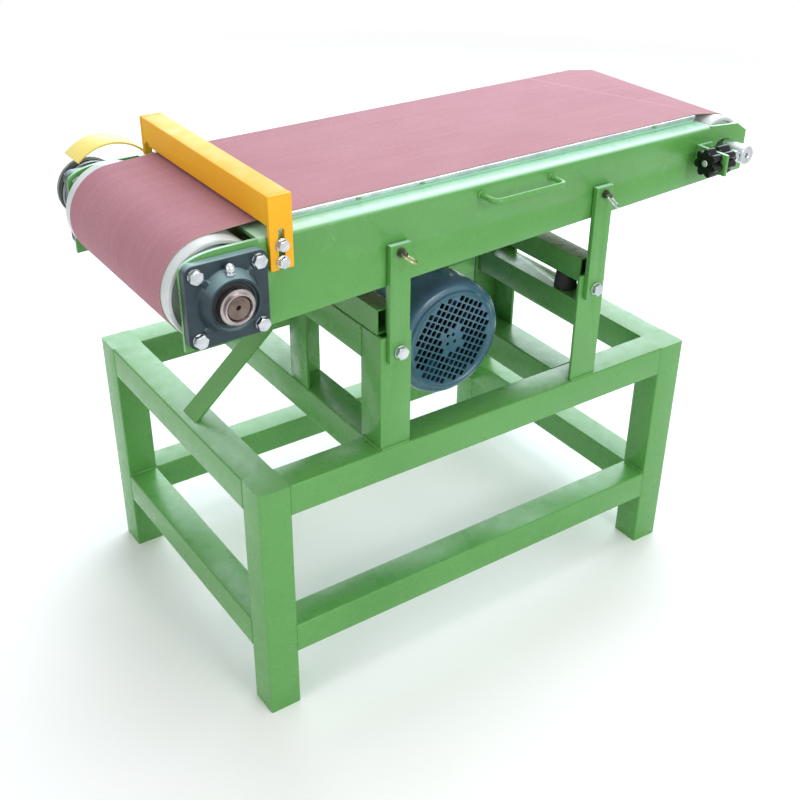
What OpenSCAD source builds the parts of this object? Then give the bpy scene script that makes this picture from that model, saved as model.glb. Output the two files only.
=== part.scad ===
// Belt sander with a head that tips upright on a welded tube bench frame.
// Bench coordinates: x runs along the machine, y away from the handle side and z up,
// from the outer corner of the base frame below the drum on the handle side.
// The whole part is then shifted so that the row origin is below the middle of its bounding box.

/* [Base frame] */
// Length of the base frame
base_len = 800; // [600:10:1000]
// Depth of the base frame
base_dep = 540; // [400:10:700]
// Height of the base frame
base_h = 400; // [300:10:500]
// Side of the square tube
tube = 50; // [30:5:60]
// Wall of the square tube
tube_wall = 3; // [2:0.5:5]
// Height of the underside of the lower stretchers
stretcher_z = 100; // [50:10:200]
// Start of the left cross member and left portal
left_x = 198; // [150:1:250]
// Start of the right cross member and right portal
right_x = 553; // [500:1:600]

/* [Portals] */
// Side of the angle iron posts
angle = 50; // [30:5:60]
// Thickness of the angle iron
angle_t = 5; // [3:1:8]
// Top of the near posts, the left inner post and the left beam
post_top = 578; // [500:1:620]
// How much lower the right inner post ends
post_step = 23; // [0:1:40]
// Front face of the near posts
post_y = 4; // [0:1:20]
// Front of the inner posts
inner_y = 206; // [180:1:240]
// Height from the underside of the right beam to the top of the right inner post
beam_drop = 60; // [50:1:80]
// Side of the right beam tube
right_beam = 40; // [30:1:50]
// Height of the rubber buffer
buffer_h = 27; // [15:1:28]
// Width of the slanting brace
brace_w = 40; // [20:5:50]

/* [Hinge] */
// Depth position of the tilt axis
tilt_y = 275; // [262:1:300]
// Depth of the tilt axis below the top of the near posts
tilt_drop = 6; // [0:1:15]
// Radius of the hinge pins
hinge_pin_r = 6; // [4:0.5:10]
// Thickness of the fork ears
ear_t = 7; // [4:1:10]

/* [Head] */
// Outer width over the two walls
head_w = 350; // [250:10:500]
// Outer face of the near wall
wall_y = 5; // [0:1:20]
// Thickness of the wall plate
wall_t = 5; // [3:1:8]
// Reach of the walls past the drum axis
wall_past0 = 54.5; // [54:0.5:80]
// Reach of the walls past the idler axis
wall_past1 = 44; // [35:1:60]
// Top of the wall flanges
flange_z = 764; // [700:1:800]
// Width of the wall flanges
flange_w = 60; // [30:1:70]
// Outer radius of the flange bend
bend_r = 7; // [5:1:12]
// Distance from the drum axis to the left end of the flanges
flange_start = 49.5; // [45:0.5:90]
// Distance from the right end of the flanges to the idler axis
flange_stop = 37; // [36:1:60]
// Length of the cut-off corner at the right end of the walls
end_cut = 22; // [5:1:30]
// Fall of the cut-off corner
end_drop = 19; // [8:1:24]
// Fall of the rounded left end
crown_drop = 19; // [5:1:30]
// Lower edge of the walls at their left end
wall_low0 = 642; // [600:1:680]
// Lower edge of the walls at their right end
wall_low1 = 683; // [640:1:700]
// Distance from the drum axis to the platen
platen_start = 97.5; // [70:0.5:120]
// Distance from the platen to the idler axis
platen_stop = 42; // [40:1:80]
// Thickness of the packers under the platen
pack_t = 4; // [2:1:12]
// Thickness of the platen
platen_t = 6; // [3:1:10]

/* [Rollers] */
// Height of the drum axis
drum_z = 702.8; // [690:0.1:710]
// Lengthwise position of the drum axis
drum_x = -25.5; // [-40:0.5:-10]
// Radius of the drum
drum_r = 66; // [50:1:80]
// Height of the idler axis
idler_z = 725; // [700:1:740]
// Lengthwise position of the idler axis
idler_x = 832; // [800:0.5:850]
// Radius of the idler
idler_r = 43; // [30:1:60]
// Gap between each roller end and the wall
roller_gap = 8; // [5:1:15]
// Thickness of the roller shells
shell_t = 5; // [3:1:8]
// Radius of the drum shaft
drum_shaft_r = 16; // [10:1:20]
// Radius of the idler shaft
idler_shaft_r = 14; // [10:1:20]
// Width of the abrasive belt
belt_w = 285; // [200:5:330]
// Thickness of the abrasive belt
belt_t = 1; // [0.8:0.1:2]
// Clearance between the abrasive belt and the rollers
belt_gap = 0.3; // [0.3:0.1:1]

/* [Drive] */
// Lengthwise position of the motor axis
motor_x = 403; // [350:1:450]
// Drop from the motor plate to the motor axis
motor_drop = 84; // [84:1:110]
// Radius of the fan cowl
cowl_r = 94; // [88:1:104]
// Near face of the fan cowl
motor_y0 = 114; // [100:1:140]
// Far end of the motor shaft
motor_y1 = 432; // [400:1:440]
// Middle of the drive belt
drive_y = 418; // [400:1:425]
// Outer radius of the drum pulley
pulley_a_r = 45; // [35:1:50]
// Outer radius of the motor pulley
pulley_b_r = 56; // [40:1:60]
// Width of the pulleys
pulley_w = 30; // [20:1:36]

/* [Fence] */
// Left side of the fence
fence_x = 36; // [20:1:60]
// Width of the fence bar
fence_w = 32; // [20:1:50]
// Underside of the fence bar
fence_z = 777; // [776:0.5:790]
// Height of the fence bar
fence_h = 38; // [30:1:50]
// Lower end of the fence legs
fence_low = 720; // [700:1:722]

/* [Clearances] */
// Radial running clearance of pins and shafts
run = 0.05; // [0.02:0.01:0.1]
// Gap between pieces that move past each other
gap = 0.3; // [0.3:0.1:1]

/* [Hidden] */
// Outer radii of the abrasive belt at the two rollers
belt_or1 = drum_r + belt_gap + belt_t;
belt_or2 = idler_r + belt_gap + belt_t;
// Reach of the adjuster brackets and their outer end
adj_reach = 60;
adj_y0 = wall_y - adj_reach;
// Ends of walls, flanges and platen
wall_x0 = drum_x - wall_past0;
wall_x1 = idler_x + wall_past1;
flange_x0 = drum_x + flange_start;
flange_x1 = idler_x - flange_stop;
platen_x0 = drum_x + platen_start;
platen_x1 = idler_x - platen_stop;
crown_x = drum_x + 0.5;
// Top of the platen
platen_z = flange_z + pack_t + platen_t;
// Travel of the idler
tension = 8;
// Heights that follow the posts
low_post_top = post_top - post_step;
right_beam_z = low_post_top - beam_drop;
tilt_z = post_top - tilt_drop;
// Row origin in bench coordinates
origin_x = (drum_x - belt_or1 + idler_x + belt_or2) / 2;
origin_y = (adj_y0 + base_dep) / 2;
// Far wall outer face and inner faces
far_y = wall_y + head_w;
in0 = wall_y + wall_t;
in1 = far_y - wall_t;
mid_y = wall_y + head_w / 2;
// Adjuster sizes
rod_out = 35;
rod_r = 5;
adj_x = idler_x - 64;
adj_t = 5;
adj_h = 32;
knob_w = 18;
outer_knob_w = 24;
// Cradle rails of the head
rail_w = 30;
rail_h = 37;
rail_wall = 2.5;
rail_y0 = 16;
rail_y1 = in1 - wall_t;
left_rail_x = 199;
left_rail_z = post_top + 1.5;
right_rail_x = 563;
right_rail_z = low_post_top + 8;
bar_z = right_rail_z + 17;
bar_h = 20;
bar_w = 25;
plate_z = bar_z - 29;
plate_t = 8;
motor_z = plate_z - motor_drop;
foot_y = [224, 324];
frame_y0 = motor_y0 + 62;
frame_y1 = motor_y0 + 252;
stay_top = 690;
// Links and pins
link_w = 32;
link_t = 8;
link_y1 = post_y - gap;
link_y0 = link_y1 - link_t;
link_bolt_z = post_top - 22;
link_low = link_bolt_z - 15;
left_link_x = 223;
right_link_x = 578;
left_pin_z = 702;
right_pin_z = 706;
pin_r = 5;
ring_r = 12;
wire_r = 1.2;
ring_y = -13;
// Turn of each cross hole about its pin and how far its ring hangs down from level
left_turn = 30;
left_hang = 8;
right_turn = 37;
right_hang = 25;
// Bearing housing
ucf = 108;
ucf_t = 13;
ucf_pitch = 83;
ucf_boss = 31;
race_r = 27;
collar_r = 23;
// Bolt sizes
m10_r = 5;
m8_r = 4;
// Heights of the two fence bolts on each side
leg_bolt_z = [752.5, 730.5];
// Height of the upper end of the slots in the fence legs
slot_top = 769;
// Drive belt
vb_w = 12;
vb_t = 9;
groove_w = vb_w + 2 * gap;
// Abrasive belt path: inner line at the platen corners
path_z = platen_z + 0.1;
$fn = 64;

green = "#5f9e57";
yellow = "#f0b93a";
zinc = "#c9ccd0";
cast = "#3e5358";
black = "#1b1c1f";
steel = "#9aa0a4";
motor_blue = "#4b6a80";

module bench() {
    translate([-origin_x, -origin_y, 0]) children();
}

// Rod along y between two depths
module rod_y(x, z, r, y0, y1) {
    translate([x, y0, z]) rotate([-90, 0, 0]) cylinder(r = r, h = y1 - y0);
}

// Rod along x between two positions
module rod_x(y, z, r, x0, x1) {
    translate([x0, y, z]) rotate([0, 90, 0]) cylinder(r = r, h = x1 - x0);
}

// Hollow square tube along x, open at both ends
module tube_x(x, y, z, len, w, h, t) {
    difference() {
        translate([x, y, z]) cube([len, w, h]);
        translate([x - 1, y + t, z + t]) cube([len + 2, w - 2 * t, h - 2 * t]);
    }
}

// Hollow square tube along y, open at both ends
module tube_y(x, y, z, w, len, h, t) {
    difference() {
        translate([x, y, z]) cube([w, len, h]);
        translate([x + t, y - 1, z + t]) cube([w - 2 * t, len + 2, h - 2 * t]);
    }
}

// Hexagon prism along y with the given width over flats
module hex_y(x, z, af, y0, y1) {
    translate([x, y0, z]) rotate([-90, 0, 0]) cylinder(r = af / sqrt(3), h = y1 - y0, $fn = 6);
}

// Hexagon prism along z with the given width over flats
module hex_z(x, y, af, z0, z1) {
    translate([x, y, z0]) cylinder(r = af / sqrt(3), h = z1 - z0, $fn = 6);
}

// Angle iron post, upright, with one flange at side x and one at depth y
module post(x, y, z0, z1, flange_left, flange_front) {
    fx = flange_left ? x : x + angle - angle_t;
    fy = flange_front ? y : y + angle - angle_t;
    translate([fx, y, z0]) cube([angle_t, angle, z1 - z0]);
    translate([x, fy, z0]) cube([angle, angle_t, z1 - z0]);
}

module legs() color(green) bench() {
    for (x = [0, base_len - tube], y = [0, base_dep - tube]) {
        difference() {
            translate([x, y, 0]) cube([tube, tube, base_h]);
            translate([x + tube_wall, y + tube_wall, -1])
                cube([tube - 2 * tube_wall, tube - 2 * tube_wall, base_h - tube_wall + 1]);
        }
    }
}

module long_top_rails() color(green) bench() {
    for (y = [0, base_dep - tube])
        tube_x(tube, y, base_h - tube, base_len - 2 * tube, tube, tube, tube_wall);
}

module end_top_rails() color(green) bench() {
    for (x = [0, base_len - tube])
        tube_y(x, tube, base_h - tube, tube, base_dep - 2 * tube, tube, tube_wall);
}

module long_stretchers() color(green) bench() {
    for (y = [0, base_dep - tube])
        tube_x(tube, y, stretcher_z, base_len - 2 * tube, tube, tube, tube_wall);
}

module end_stretchers() color(green) bench() {
    for (x = [0, base_len - tube])
        tube_y(x, tube, stretcher_z, tube, base_dep - 2 * tube, tube, tube_wall);
}

module cross_members() color(green) bench() {
    for (x = [left_x, right_x])
        tube_y(x, tube, base_h - tube, tube, base_dep - 2 * tube, tube, tube_wall);
}

module post_near_left() color(green) bench() {
    difference() {
        post(left_x, post_y, base_h, post_top, true, true);
        rod_y(left_link_x + 1, link_bolt_z, m10_r, post_y - 1, post_y + angle_t + 1);
    }
}

module post_near_right() color(green) bench() {
    difference() {
        post(right_x, post_y, base_h, post_top, false, true);
        rod_y(right_link_x + 1, link_bolt_z, m10_r, post_y - 1, post_y + angle_t + 1);
    }
}

module post_inner_left() color(green) bench() {
    post(left_x, inner_y, base_h, post_top, true, false);
}

module post_inner_right() color(green) bench() {
    post(right_x, inner_y, base_h, low_post_top, false, false);
}

module beam_left() color(green) bench() {
    tube_y(left_x, post_y + angle, post_top - tube, tube, inner_y - post_y - angle, tube, tube_wall);
}

module beam_right() color(green) bench() {
    x = right_x + angle - angle_t - right_beam;
    y0 = post_y + angle_t;
    y1 = inner_y + angle - angle_t;
    difference() {
        tube_y(x, y0, right_beam_z, right_beam, y1 - y0, right_beam, tube_wall);
        translate([x + right_beam / 2, 60, right_beam_z + right_beam - 10]) cylinder(r = m8_r, h = 20);
    }
}

module brace() color(green) bench() {
    x0 = 20;
    rise = link_bolt_z - base_h;
    run_x = left_x - x0;
    a = atan2(rise, run_x);
    intersection() {
        translate([x0, inner_y + angle - brace_w, base_h]) rotate([0, -a, 0])
            translate([-40, 0, 0]) cube([340, brace_w, 5]);
        translate([0, inner_y, base_h]) cube([left_x, angle, 300]);
    }
}

// Two ears on a leaf that is welded to the far face of an inner post
module hinge_fork(rail_x, leaf_z) {
    x0 = rail_x - gap - ear_t;
    x1 = rail_x + rail_w + gap;
    leaf_y = inner_y + angle;
    difference() {
        union() {
            translate([x0, leaf_y, leaf_z]) cube([x1 + ear_t - x0, 6, tilt_z - 12 - leaf_z]);
            for (x = [x0, x1]) {
                translate([x, leaf_y, tilt_z - 24]) cube([ear_t, 6, 36]);
                translate([x, leaf_y + 6, tilt_z - 12]) cube([ear_t, tilt_y - leaf_y - 6, 24]);
                rod_x(tilt_y, tilt_z, 12, x, x + ear_t);
            }
        }
        rod_x(tilt_y, tilt_z, hinge_pin_r + run, x0 - 1, x1 + ear_t + 1);
    }
}

module hinge_fork_left() color(green) bench() {
    hinge_fork(left_rail_x, tilt_z - 72);
}

module hinge_fork_right() color(green) bench() {
    hinge_fork(right_rail_x, tilt_z - 72);
}

module rubber_buffer() color(black) bench() {
    x = right_x + angle - angle_t - right_beam / 2;
    z = right_beam_z + right_beam;
    difference() {
        translate([x, 60, z]) cylinder(r1 = 18, r2 = 15, h = buffer_h);
        translate([x, 60, z - 1]) cylinder(r = m8_r, h = buffer_h + 2);
        translate([x, 60, z + 17]) cylinder(r = 9, h = buffer_h);
    }
}

module buffer_bolt() color(zinc) bench() {
    x = right_x + angle - angle_t - right_beam / 2;
    z = right_beam_z + right_beam;
    hex_z(x, 60, 13, z + 17, z + 22.5);
    translate([x, 60, z - tube_wall - 8]) cylinder(r = m8_r, h = tube_wall + 26);
    difference() {
        hex_z(x, 60, 13, z - tube_wall - 6.5, z - tube_wall);
        translate([x, 60, z - tube_wall - 7]) cylinder(r = m8_r - 0.5, h = 8);
    }
}

module link_bolts() color(zinc) bench() {
    for (x = [left_link_x + 1, right_link_x + 1]) {
        hex_y(x, link_bolt_z, 17, link_y0 - gap - 8, link_y0 - gap - 1.6);
        rod_y(x, link_bolt_z, 10, link_y0 - gap - 1.6, link_y0 - gap);
        rod_y(x, link_bolt_z, m10_r, link_y0 - gap, post_y + angle_t + 12);
        hex_y(x, link_bolt_z, 17, post_y + angle_t, post_y + angle_t + 6.5);
    }
}

// Flat bar link with rounded lower end, a bolt hole and a pin hole
module link(x, pin_z) {
    difference() {
        translate([x - link_w / 2, link_y0, link_low]) cube([link_w, link_t, pin_z + 11 - link_low]);
        rod_y(x + 1, link_bolt_z, m10_r + run, link_y0 - 1, link_y1 + 1);
        rod_y(x, pin_z, pin_r + 0.5, link_y0 - 1, link_y1 + 1);
    }
}

module link_left() color(green) bench() {
    link(left_link_x, left_pin_z);
}

module link_right() color(green) bench() {
    link(right_link_x, right_pin_z);
}

// Lock pin with a cross hole for its split ring
module lock_pin(x, z, turn) {
    difference() {
        union() {
            rod_y(x, z, pin_r, ring_y - 5, in0 + 5);
            rod_y(x, z, 7.5, link_y0 - gap - 2, link_y0 - gap);
        }
        translate([x, ring_y, z]) rotate([0, turn, 0]) rotate([0, 90, 0])
            cylinder(r = 2.5, h = 20, center = true);
    }
}

module pin_left() color(steel) bench() {
    lock_pin(left_link_x, left_pin_z, left_turn);
}

module pin_right() color(steel) bench() {
    lock_pin(right_link_x, right_pin_z, right_turn);
}

// Split ring that stands out of the pin towards the user
module split_ring(x, z, turn, hang) {
    translate([x, ring_y, z]) rotate([0, turn, 0]) rotate([hang, 0, 0]) translate([0, -ring_r, 0])
        rotate_extrude() translate([ring_r, 0]) circle(r = wire_r, $fn = 24);
}

module ring_left() color(zinc) bench() {
    split_ring(left_link_x, left_pin_z, left_turn, left_hang);
}

module ring_right() color(zinc) bench() {
    split_ring(right_link_x, right_pin_z, right_turn, right_hang);
}

// Upright plate outline in the x z plane, drawn as a list of points
crown = [for (i = [0:12]) let (a = 90 + 90 * i / 12)
    [crown_x + (crown_x - wall_x0) * cos(a), flange_z - crown_drop * (1 - sin(a))]];
wall_points = concat([[wall_x1, wall_low1], [wall_x1, flange_z - end_drop],
    [wall_x1 - end_cut, flange_z - 5], [flange_x1, flange_z], [flange_x1, flange_z - bend_r],
    [flange_x0, flange_z - bend_r], [flange_x0, flange_z]], crown, [[wall_x0, wall_low0]]);

// Wall with bearing hole, bolt holes and the slot of the idler shaft
module wall_plate(y0) {
    slot_r = idler_shaft_r + 0.5;
    difference() {
        translate([0, y0 + wall_t, 0]) rotate([90, 0, 0])
            linear_extrude(height = wall_t) polygon(wall_points);
        rod_y(drum_x, drum_z, 32, y0 - 1, y0 + wall_t + 1);
        for (i = [-1, 1], k = [-1, 1])
            rod_y(drum_x + i * ucf_pitch / 2, drum_z + k * ucf_pitch / 2, m10_r + 0.5,
                y0 - 1, y0 + wall_t + 1);
        for (x = [idler_x - tension - 1, idler_x + 1])
            rod_y(x, idler_z, slot_r, y0 - 1, y0 + wall_t + 1);
        translate([idler_x - tension - 1, y0 - 1, idler_z - slot_r])
            cube([tension + 2, wall_t + 2, 2 * slot_r]);
        for (z = leg_bolt_z)
            rod_y(fence_x + fence_w / 2, z, m8_r, y0 - 1, y0 + wall_t + 1);
    }
}

// Flange and bend of the near wall, from the bend centre inwards
module wall_flange() {
    c = wall_y + bend_r;
    len = flange_x1 - flange_x0;
    translate([flange_x0, c, flange_z - wall_t]) cube([len, flange_w - bend_r, wall_t]);
    intersection() {
        difference() {
            rod_x(c, flange_z - bend_r, bend_r, flange_x0, flange_x1);
            rod_x(c, flange_z - bend_r, bend_r - wall_t, flange_x0 - 1, flange_x1 + 1);
        }
        translate([flange_x0 - 1, wall_y - 1, flange_z - bend_r])
            cube([len + 2, bend_r + 1, bend_r + 1]);
    }
}

module wall_near() color(green) bench() {
    difference() {
        union() {
            wall_plate(wall_y);
            wall_flange();
        }
        rod_y(left_link_x, left_pin_z, pin_r + run, wall_y - 1, in0 + 1);
        rod_y(right_link_x, right_pin_z, pin_r + run, wall_y - 1, in0 + 1);
    }
}

module wall_far() color(green) bench() {
    wall_plate(in1);
    translate([0, 2 * mid_y, 0]) mirror([0, 1, 0]) wall_flange();
}

module head_tubes() color(green) bench() {
    for (x = [drum_x + 135.5, motor_x - 1, idler_x - 142])
        translate([x, in0, flange_z - 64]) difference() {
            cube([30, in1 - in0, 30]);
            translate([3, -1, 3]) cube([24, in1 - in0 + 2, 24]);
        }
}

module rail_left() color(green) bench() {
    difference() {
        union() {
            tube_y(left_rail_x, rail_y0, left_rail_z, rail_w, rail_y1 - rail_y0, rail_h, rail_wall);
            difference() {
                union() {
                    rod_x(tilt_y, tilt_z, 11.5, left_rail_x, left_rail_x + rail_w);
                    translate([left_rail_x, tilt_y - 11.5, tilt_z])
                        cube([rail_w, 23, left_rail_z - tilt_z]);
                }
                translate([left_rail_x - 1, tilt_y - 20, left_rail_z]) cube([rail_w + 2, 40, 20]);
            }
        }
        rod_x(tilt_y, tilt_z, hinge_pin_r, left_rail_x - 1, left_rail_x + rail_w + 1);
    }
}

module rail_right() color(green) bench() {
    difference() {
        tube_y(right_rail_x, rail_y0, right_rail_z, rail_w, rail_y1 - rail_y0, rail_h, rail_wall);
        rod_x(tilt_y, tilt_z, hinge_pin_r, right_rail_x - 1, right_rail_x + rail_w + 1);
    }
}

// Upright stays that join the cradle rails to the two walls
module rail_stays() color(green) bench() {
    translate([left_rail_x + 14, in0, left_rail_z]) cube([28, rail_y0 - in0, stay_top - left_rail_z]);
    translate([right_rail_x + 14, in0, bar_z]) cube([28, rail_y0 - in0, stay_top - bar_z]);
    translate([left_rail_x, rail_y1, left_rail_z]) cube([rail_w, wall_t, stay_top - left_rail_z]);
    translate([right_rail_x, rail_y1, right_rail_z]) cube([rail_w, wall_t, stay_top - right_rail_z]);
}

module cradle_bars() color(green) bench() {
    x0 = left_rail_x + rail_w;
    for (y = [188, 318])
        tube_x(x0, y, bar_z, right_rail_x - x0, bar_w, bar_h, rail_wall);
}

module motor_plate() color(green) bench() {
    difference() {
        union() {
            translate([motor_x - 86, 188, plate_z]) cube([172, 155, plate_t]);
            for (x = [motor_x - 56, motor_x + 36])
                translate([x, 188, plate_z + plate_t]) cube([20, 155, bar_z - plate_z - plate_t]);
        }
        for (i = [-1, 1], y = foot_y)
            translate([motor_x + i * 70, y, plate_z - 1]) cylinder(r = m8_r, h = plate_t + 2);
    }
}

module hinge_pins() color(zinc) bench() {
    for (x = [left_rail_x, right_rail_x]) {
        x0 = x - gap - ear_t;
        x1 = x + rail_w + gap + ear_t;
        rod_x(tilt_y, tilt_z, hinge_pin_r, x0 - 5, x1 + 5);
        rod_x(tilt_y, tilt_z, 9.5, x0 - gap - 4, x0 - gap);
        rod_x(tilt_y, tilt_z, 9.5, x1 + gap, x1 + gap + 3);
    }
}

module platen() color(steel) bench() {
    translate([platen_x0, wall_y + 29, platen_z - platen_t])
        cube([platen_x1 - platen_x0, head_w - 58, platen_t]);
}

module platen_packers() color(green) bench() {
    for (y = [wall_y + 30, far_y - 50])
        translate([platen_x0 + 2, y, flange_z])
            cube([platen_x1 - platen_x0 - 4, 20, pack_t]);
}

// Points of an arc about c between two angles, in steps of about three degrees
function arc(c, r, a0, a1) = let (n = ceil(abs(a1 - a0) / 3))
    [for (i = [0:n]) let (a = a0 + (a1 - a0) * i / n) [c[0] + r * cos(a), c[1] + r * sin(a)]];
// Angle at which a line from the outside point p touches a circle
function touch(c, r, p, s) = let (d = p - c) atan2(d[1], d[0]) + s * acos(r / norm(d));
// Angle at which the lower (s = -1) or upper (s = 1) common tangent touches two circles
function tangent(c1, r1, c2, r2, s) = let (d = c2 - c1)
    atan2(d[1], d[0]) + s * acos((r1 - r2) / norm(d));

// Solid with an outline in the x z plane between two depths
module plate_y(points, y0, y1) {
    translate([0, y1, 0]) rotate([90, 0, 0]) linear_extrude(height = y1 - y0) polygon(points);
}

// Inside of the abrasive belt path, grown by g
function belt_path(g) = let (
    c1 = [drum_x, drum_z], r1 = drum_r + belt_gap + g,
    c2 = [idler_x, idler_z], r2 = idler_r + belt_gap + g,
    p1 = [platen_x0 - 1, path_z + g], p2 = [platen_x1 + 1, path_z + g],
    low = tangent(c1, r1, c2, r2, -1))
    concat(arc(c1, r1, touch(c1, r1, p1, 1), low + 360), arc(c2, r2, low, touch(c2, r2, p2, -1)),
        [p2, p1]);

module abrasive_belt() color("#b98590") bench() {
    y0 = mid_y - belt_w / 2;
    y1 = mid_y + belt_w / 2;
    difference() {
        plate_y(belt_path(belt_t), y0, y1);
        plate_y(belt_path(0), y0 - 1, y1 + 1);
    }
}

// Four bolt flanged bearing housing on the near side, without its insert
module housing() {
    y1 = wall_y;
    h = ucf / 2;
    c = 12;
    difference() {
        union() {
            translate([drum_x - h + c, y1 - ucf_t, drum_z - h]) cube([ucf - 2 * c, ucf_t, ucf]);
            translate([drum_x - h, y1 - ucf_t, drum_z - h + c]) cube([ucf, ucf_t, ucf - 2 * c]);
            for (i = [-1, 1], k = [-1, 1])
                rod_y(drum_x + i * (h - c), drum_z + k * (h - c), c, y1 - ucf_t, y1);
            translate([drum_x, y1 - ucf_t, drum_z]) rotate([90, 0, 0])
                cylinder(r1 = 41, r2 = 34, h = ucf_boss - ucf_t);
            for (a = [45, 135])
                translate([drum_x, y1 - ucf_t, drum_z]) rotate([0, a, 0])
                    translate([-47, -5, -3.5]) cube([94, 5.01, 7]);
        }
        rod_y(drum_x, drum_z, race_r, y1 - ucf_boss - 1, y1 + 1);
        rod_y(drum_x, drum_z, 31, y1 - ucf_boss - 1, y1 - ucf_boss + 4);
        rod_y(drum_x, drum_z, 31, y1 - 6, y1 + 1);
        for (i = [-1, 1], k = [-1, 1])
            rod_y(drum_x + i * ucf_pitch / 2, drum_z + k * ucf_pitch / 2, m10_r + 0.5,
                y1 - ucf_t - 9, y1 + 1);
    }
}

module flip() {
    translate([0, 2 * mid_y, 0]) mirror([0, 1, 0]) children();
}

module bearing_near() color(cast) bench() {
    housing();
}

module bearing_far() color(cast) bench() {
    flip() housing();
}

module corner_bolts() {
    y = wall_y - ucf_t;
    for (i = [-1, 1], k = [-1, 1]) {
        x = drum_x + i * ucf_pitch / 2;
        z = drum_z + k * ucf_pitch / 2;
        hex_y(x, z, 17, y - 8.5, y - 2);
        rod_y(x, z, 10, y - 2, y);
        rod_y(x, z, m10_r, y - 4, in0 + 7.5);
        hex_y(x, z, 15, in0, in0 + 5.5);
    }
}

module bearing_bolts() color(zinc) bench() {
    corner_bolts();
    flip() corner_bolts();
}

// Hexagon grease nipple that stands on the conical boss
module nipple() {
    y = wall_y - ucf_t - 9;
    translate([drum_x, y, drum_z + 37.5]) union() {
        cylinder(r = 4, h = 4);
        translate([0, 0, 1.5]) cylinder(r = 5.5, h = 4, $fn = 6);
        translate([0, 0, 5.5]) cylinder(r = 3, h = 5);
        translate([0, 0, 10.5]) cylinder(r = 2.2, h = 2.5);
    }
}

module grease_nipples() color(zinc) bench() {
    difference() {
        union() {
            nipple();
            flip() nipple();
        }
        translate([drum_x, wall_y - ucf_t, drum_z]) rotate([90, 0, 0])
            cylinder(r1 = 41, r2 = 34, h = ucf_boss - ucf_t);
        flip() translate([drum_x, wall_y - ucf_t, drum_z]) rotate([90, 0, 0])
            cylinder(r1 = 41, r2 = 34, h = ucf_boss - ucf_t);
    }
}

// Round bar grip on the near wall
module handle() color(green) bench() {
    x0 = 358;
    x1 = 480;
    z = 748;
    y0 = -26;
    r = 10;
    rod_y(x0, z, 4, y0 + r, wall_y);
    rod_y(x1, z, 4, y0 + r, wall_y);
    rod_x(y0, z, 4, x0 + r, x1 - r);
    translate([x0 + r, y0 + r, z]) rotate([0, 0, 180])
        rotate_extrude(angle = 90) translate([r, 0]) circle(r = 4, $fn = 32);
    translate([x1 - r, y0 + r, z]) rotate([0, 0, 270])
        rotate_extrude(angle = 90) translate([r, 0]) circle(r = 4, $fn = 32);
}

// Bracket plate of one belt adjuster
module adjuster() {
    difference() {
        union() {
            translate([adj_x, adj_y0, idler_z - adj_h / 2]) cube([adj_t, adj_reach, adj_h]);
            translate([adj_x + adj_t, wall_y - adj_t, idler_z - adj_h / 2]) cube([25, adj_t, adj_h]);
        }
        rod_x(wall_y - rod_out, idler_z, rod_r + 0.5, adj_x - 1, adj_x + adj_t + 1);
    }
}

module adjuster_plates() color(green) bench() {
    adjuster();
    flip() adjuster();
}

module leg_bolts() {
    for (z = leg_bolt_z) {
        x = fence_x + fence_w / 2;
        hex_y(x, z, 13, wall_y - 6 - gap - 7.5, wall_y - 6 - gap - 1.5);
        rod_y(x, z, 8.5, wall_y - 6 - gap - 1.5, wall_y - 6 - gap);
        rod_y(x, z, m8_r, wall_y - 6 - gap, in0 + 6);
    }
}

module fence_bolts() color(zinc) bench() {
    leg_bolts();
    flip() leg_bolts();
}

// Arched strip over the drum pulley with a tab to the far wall
module pulley_guard() color(yellow) bench() {
    y0 = far_y + 25;
    y1 = y0 + 50;
    c = [drum_x + 22.5, drum_z + 3.2];
    r = 72.5;
    t = 3;
    a0 = 45;
    a1 = 133.6;
    tab_x = fence_x + fence_w + 2 * gap;
    tab_t = 5;
    tab_z = 716;
    // Points where the straight end of the strip meets the two faces of the tab
    outer = [tab_x + tab_t, c[1] + (r - (tab_x + tab_t - c[0]) * cos(a0)) / sin(a0)];
    inner = [tab_x, c[1] + (r - t - (tab_x - c[0]) * cos(a0)) / sin(a0)];
    plate_y(concat(arc(c, r, a1, a0), [outer, [outer[0], tab_z], [tab_x, tab_z], inner],
        arc(c, r - t, a0, a1)), y0, y1);
    translate([tab_x, far_y, tab_z]) cube([tab_t, y0 + 5 - far_y, 14]);
}

module motor_frame() color(motor_blue) bench() {
    y0 = frame_y0;
    y1 = frame_y1;
    difference() {
        union() {
            rod_y(motor_x, motor_z, 76, y0, y1);
            for (a = [0:15:345])
                translate([motor_x, y0 + 8, motor_z]) rotate([0, a, 0])
                    translate([70, 0, -1.5]) cube([10.5, y1 - y0 - 16, 3]);
            rod_y(motor_x, motor_z, 82, y1 - 14, y1);
            rod_y(motor_x, motor_z, cowl_r - 2, y0, y0 + 11);
            rod_y(motor_x, motor_z, 34, y1, y1 + 14);
            for (i = [-1, 1]) {
                translate([motor_x + i * 70 - 17, 206, plate_z - 11]) cube([34, 136, 11]);
                translate([motor_x + i * 52 - 8, 208, motor_z + 50])
                    cube([16, 132, plate_z - motor_z - 55]);
            }
        }
        rod_y(motor_x, motor_z, 62, y0 + 10, y1 - 12);
        rod_y(motor_x, motor_z, 12 + run, y0 - 1, y1 + 20);
        for (i = [-1, 1], y = foot_y)
            translate([motor_x + i * 70, y, plate_z - 12]) cylinder(r = m8_r, h = 14);
    }
}

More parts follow.
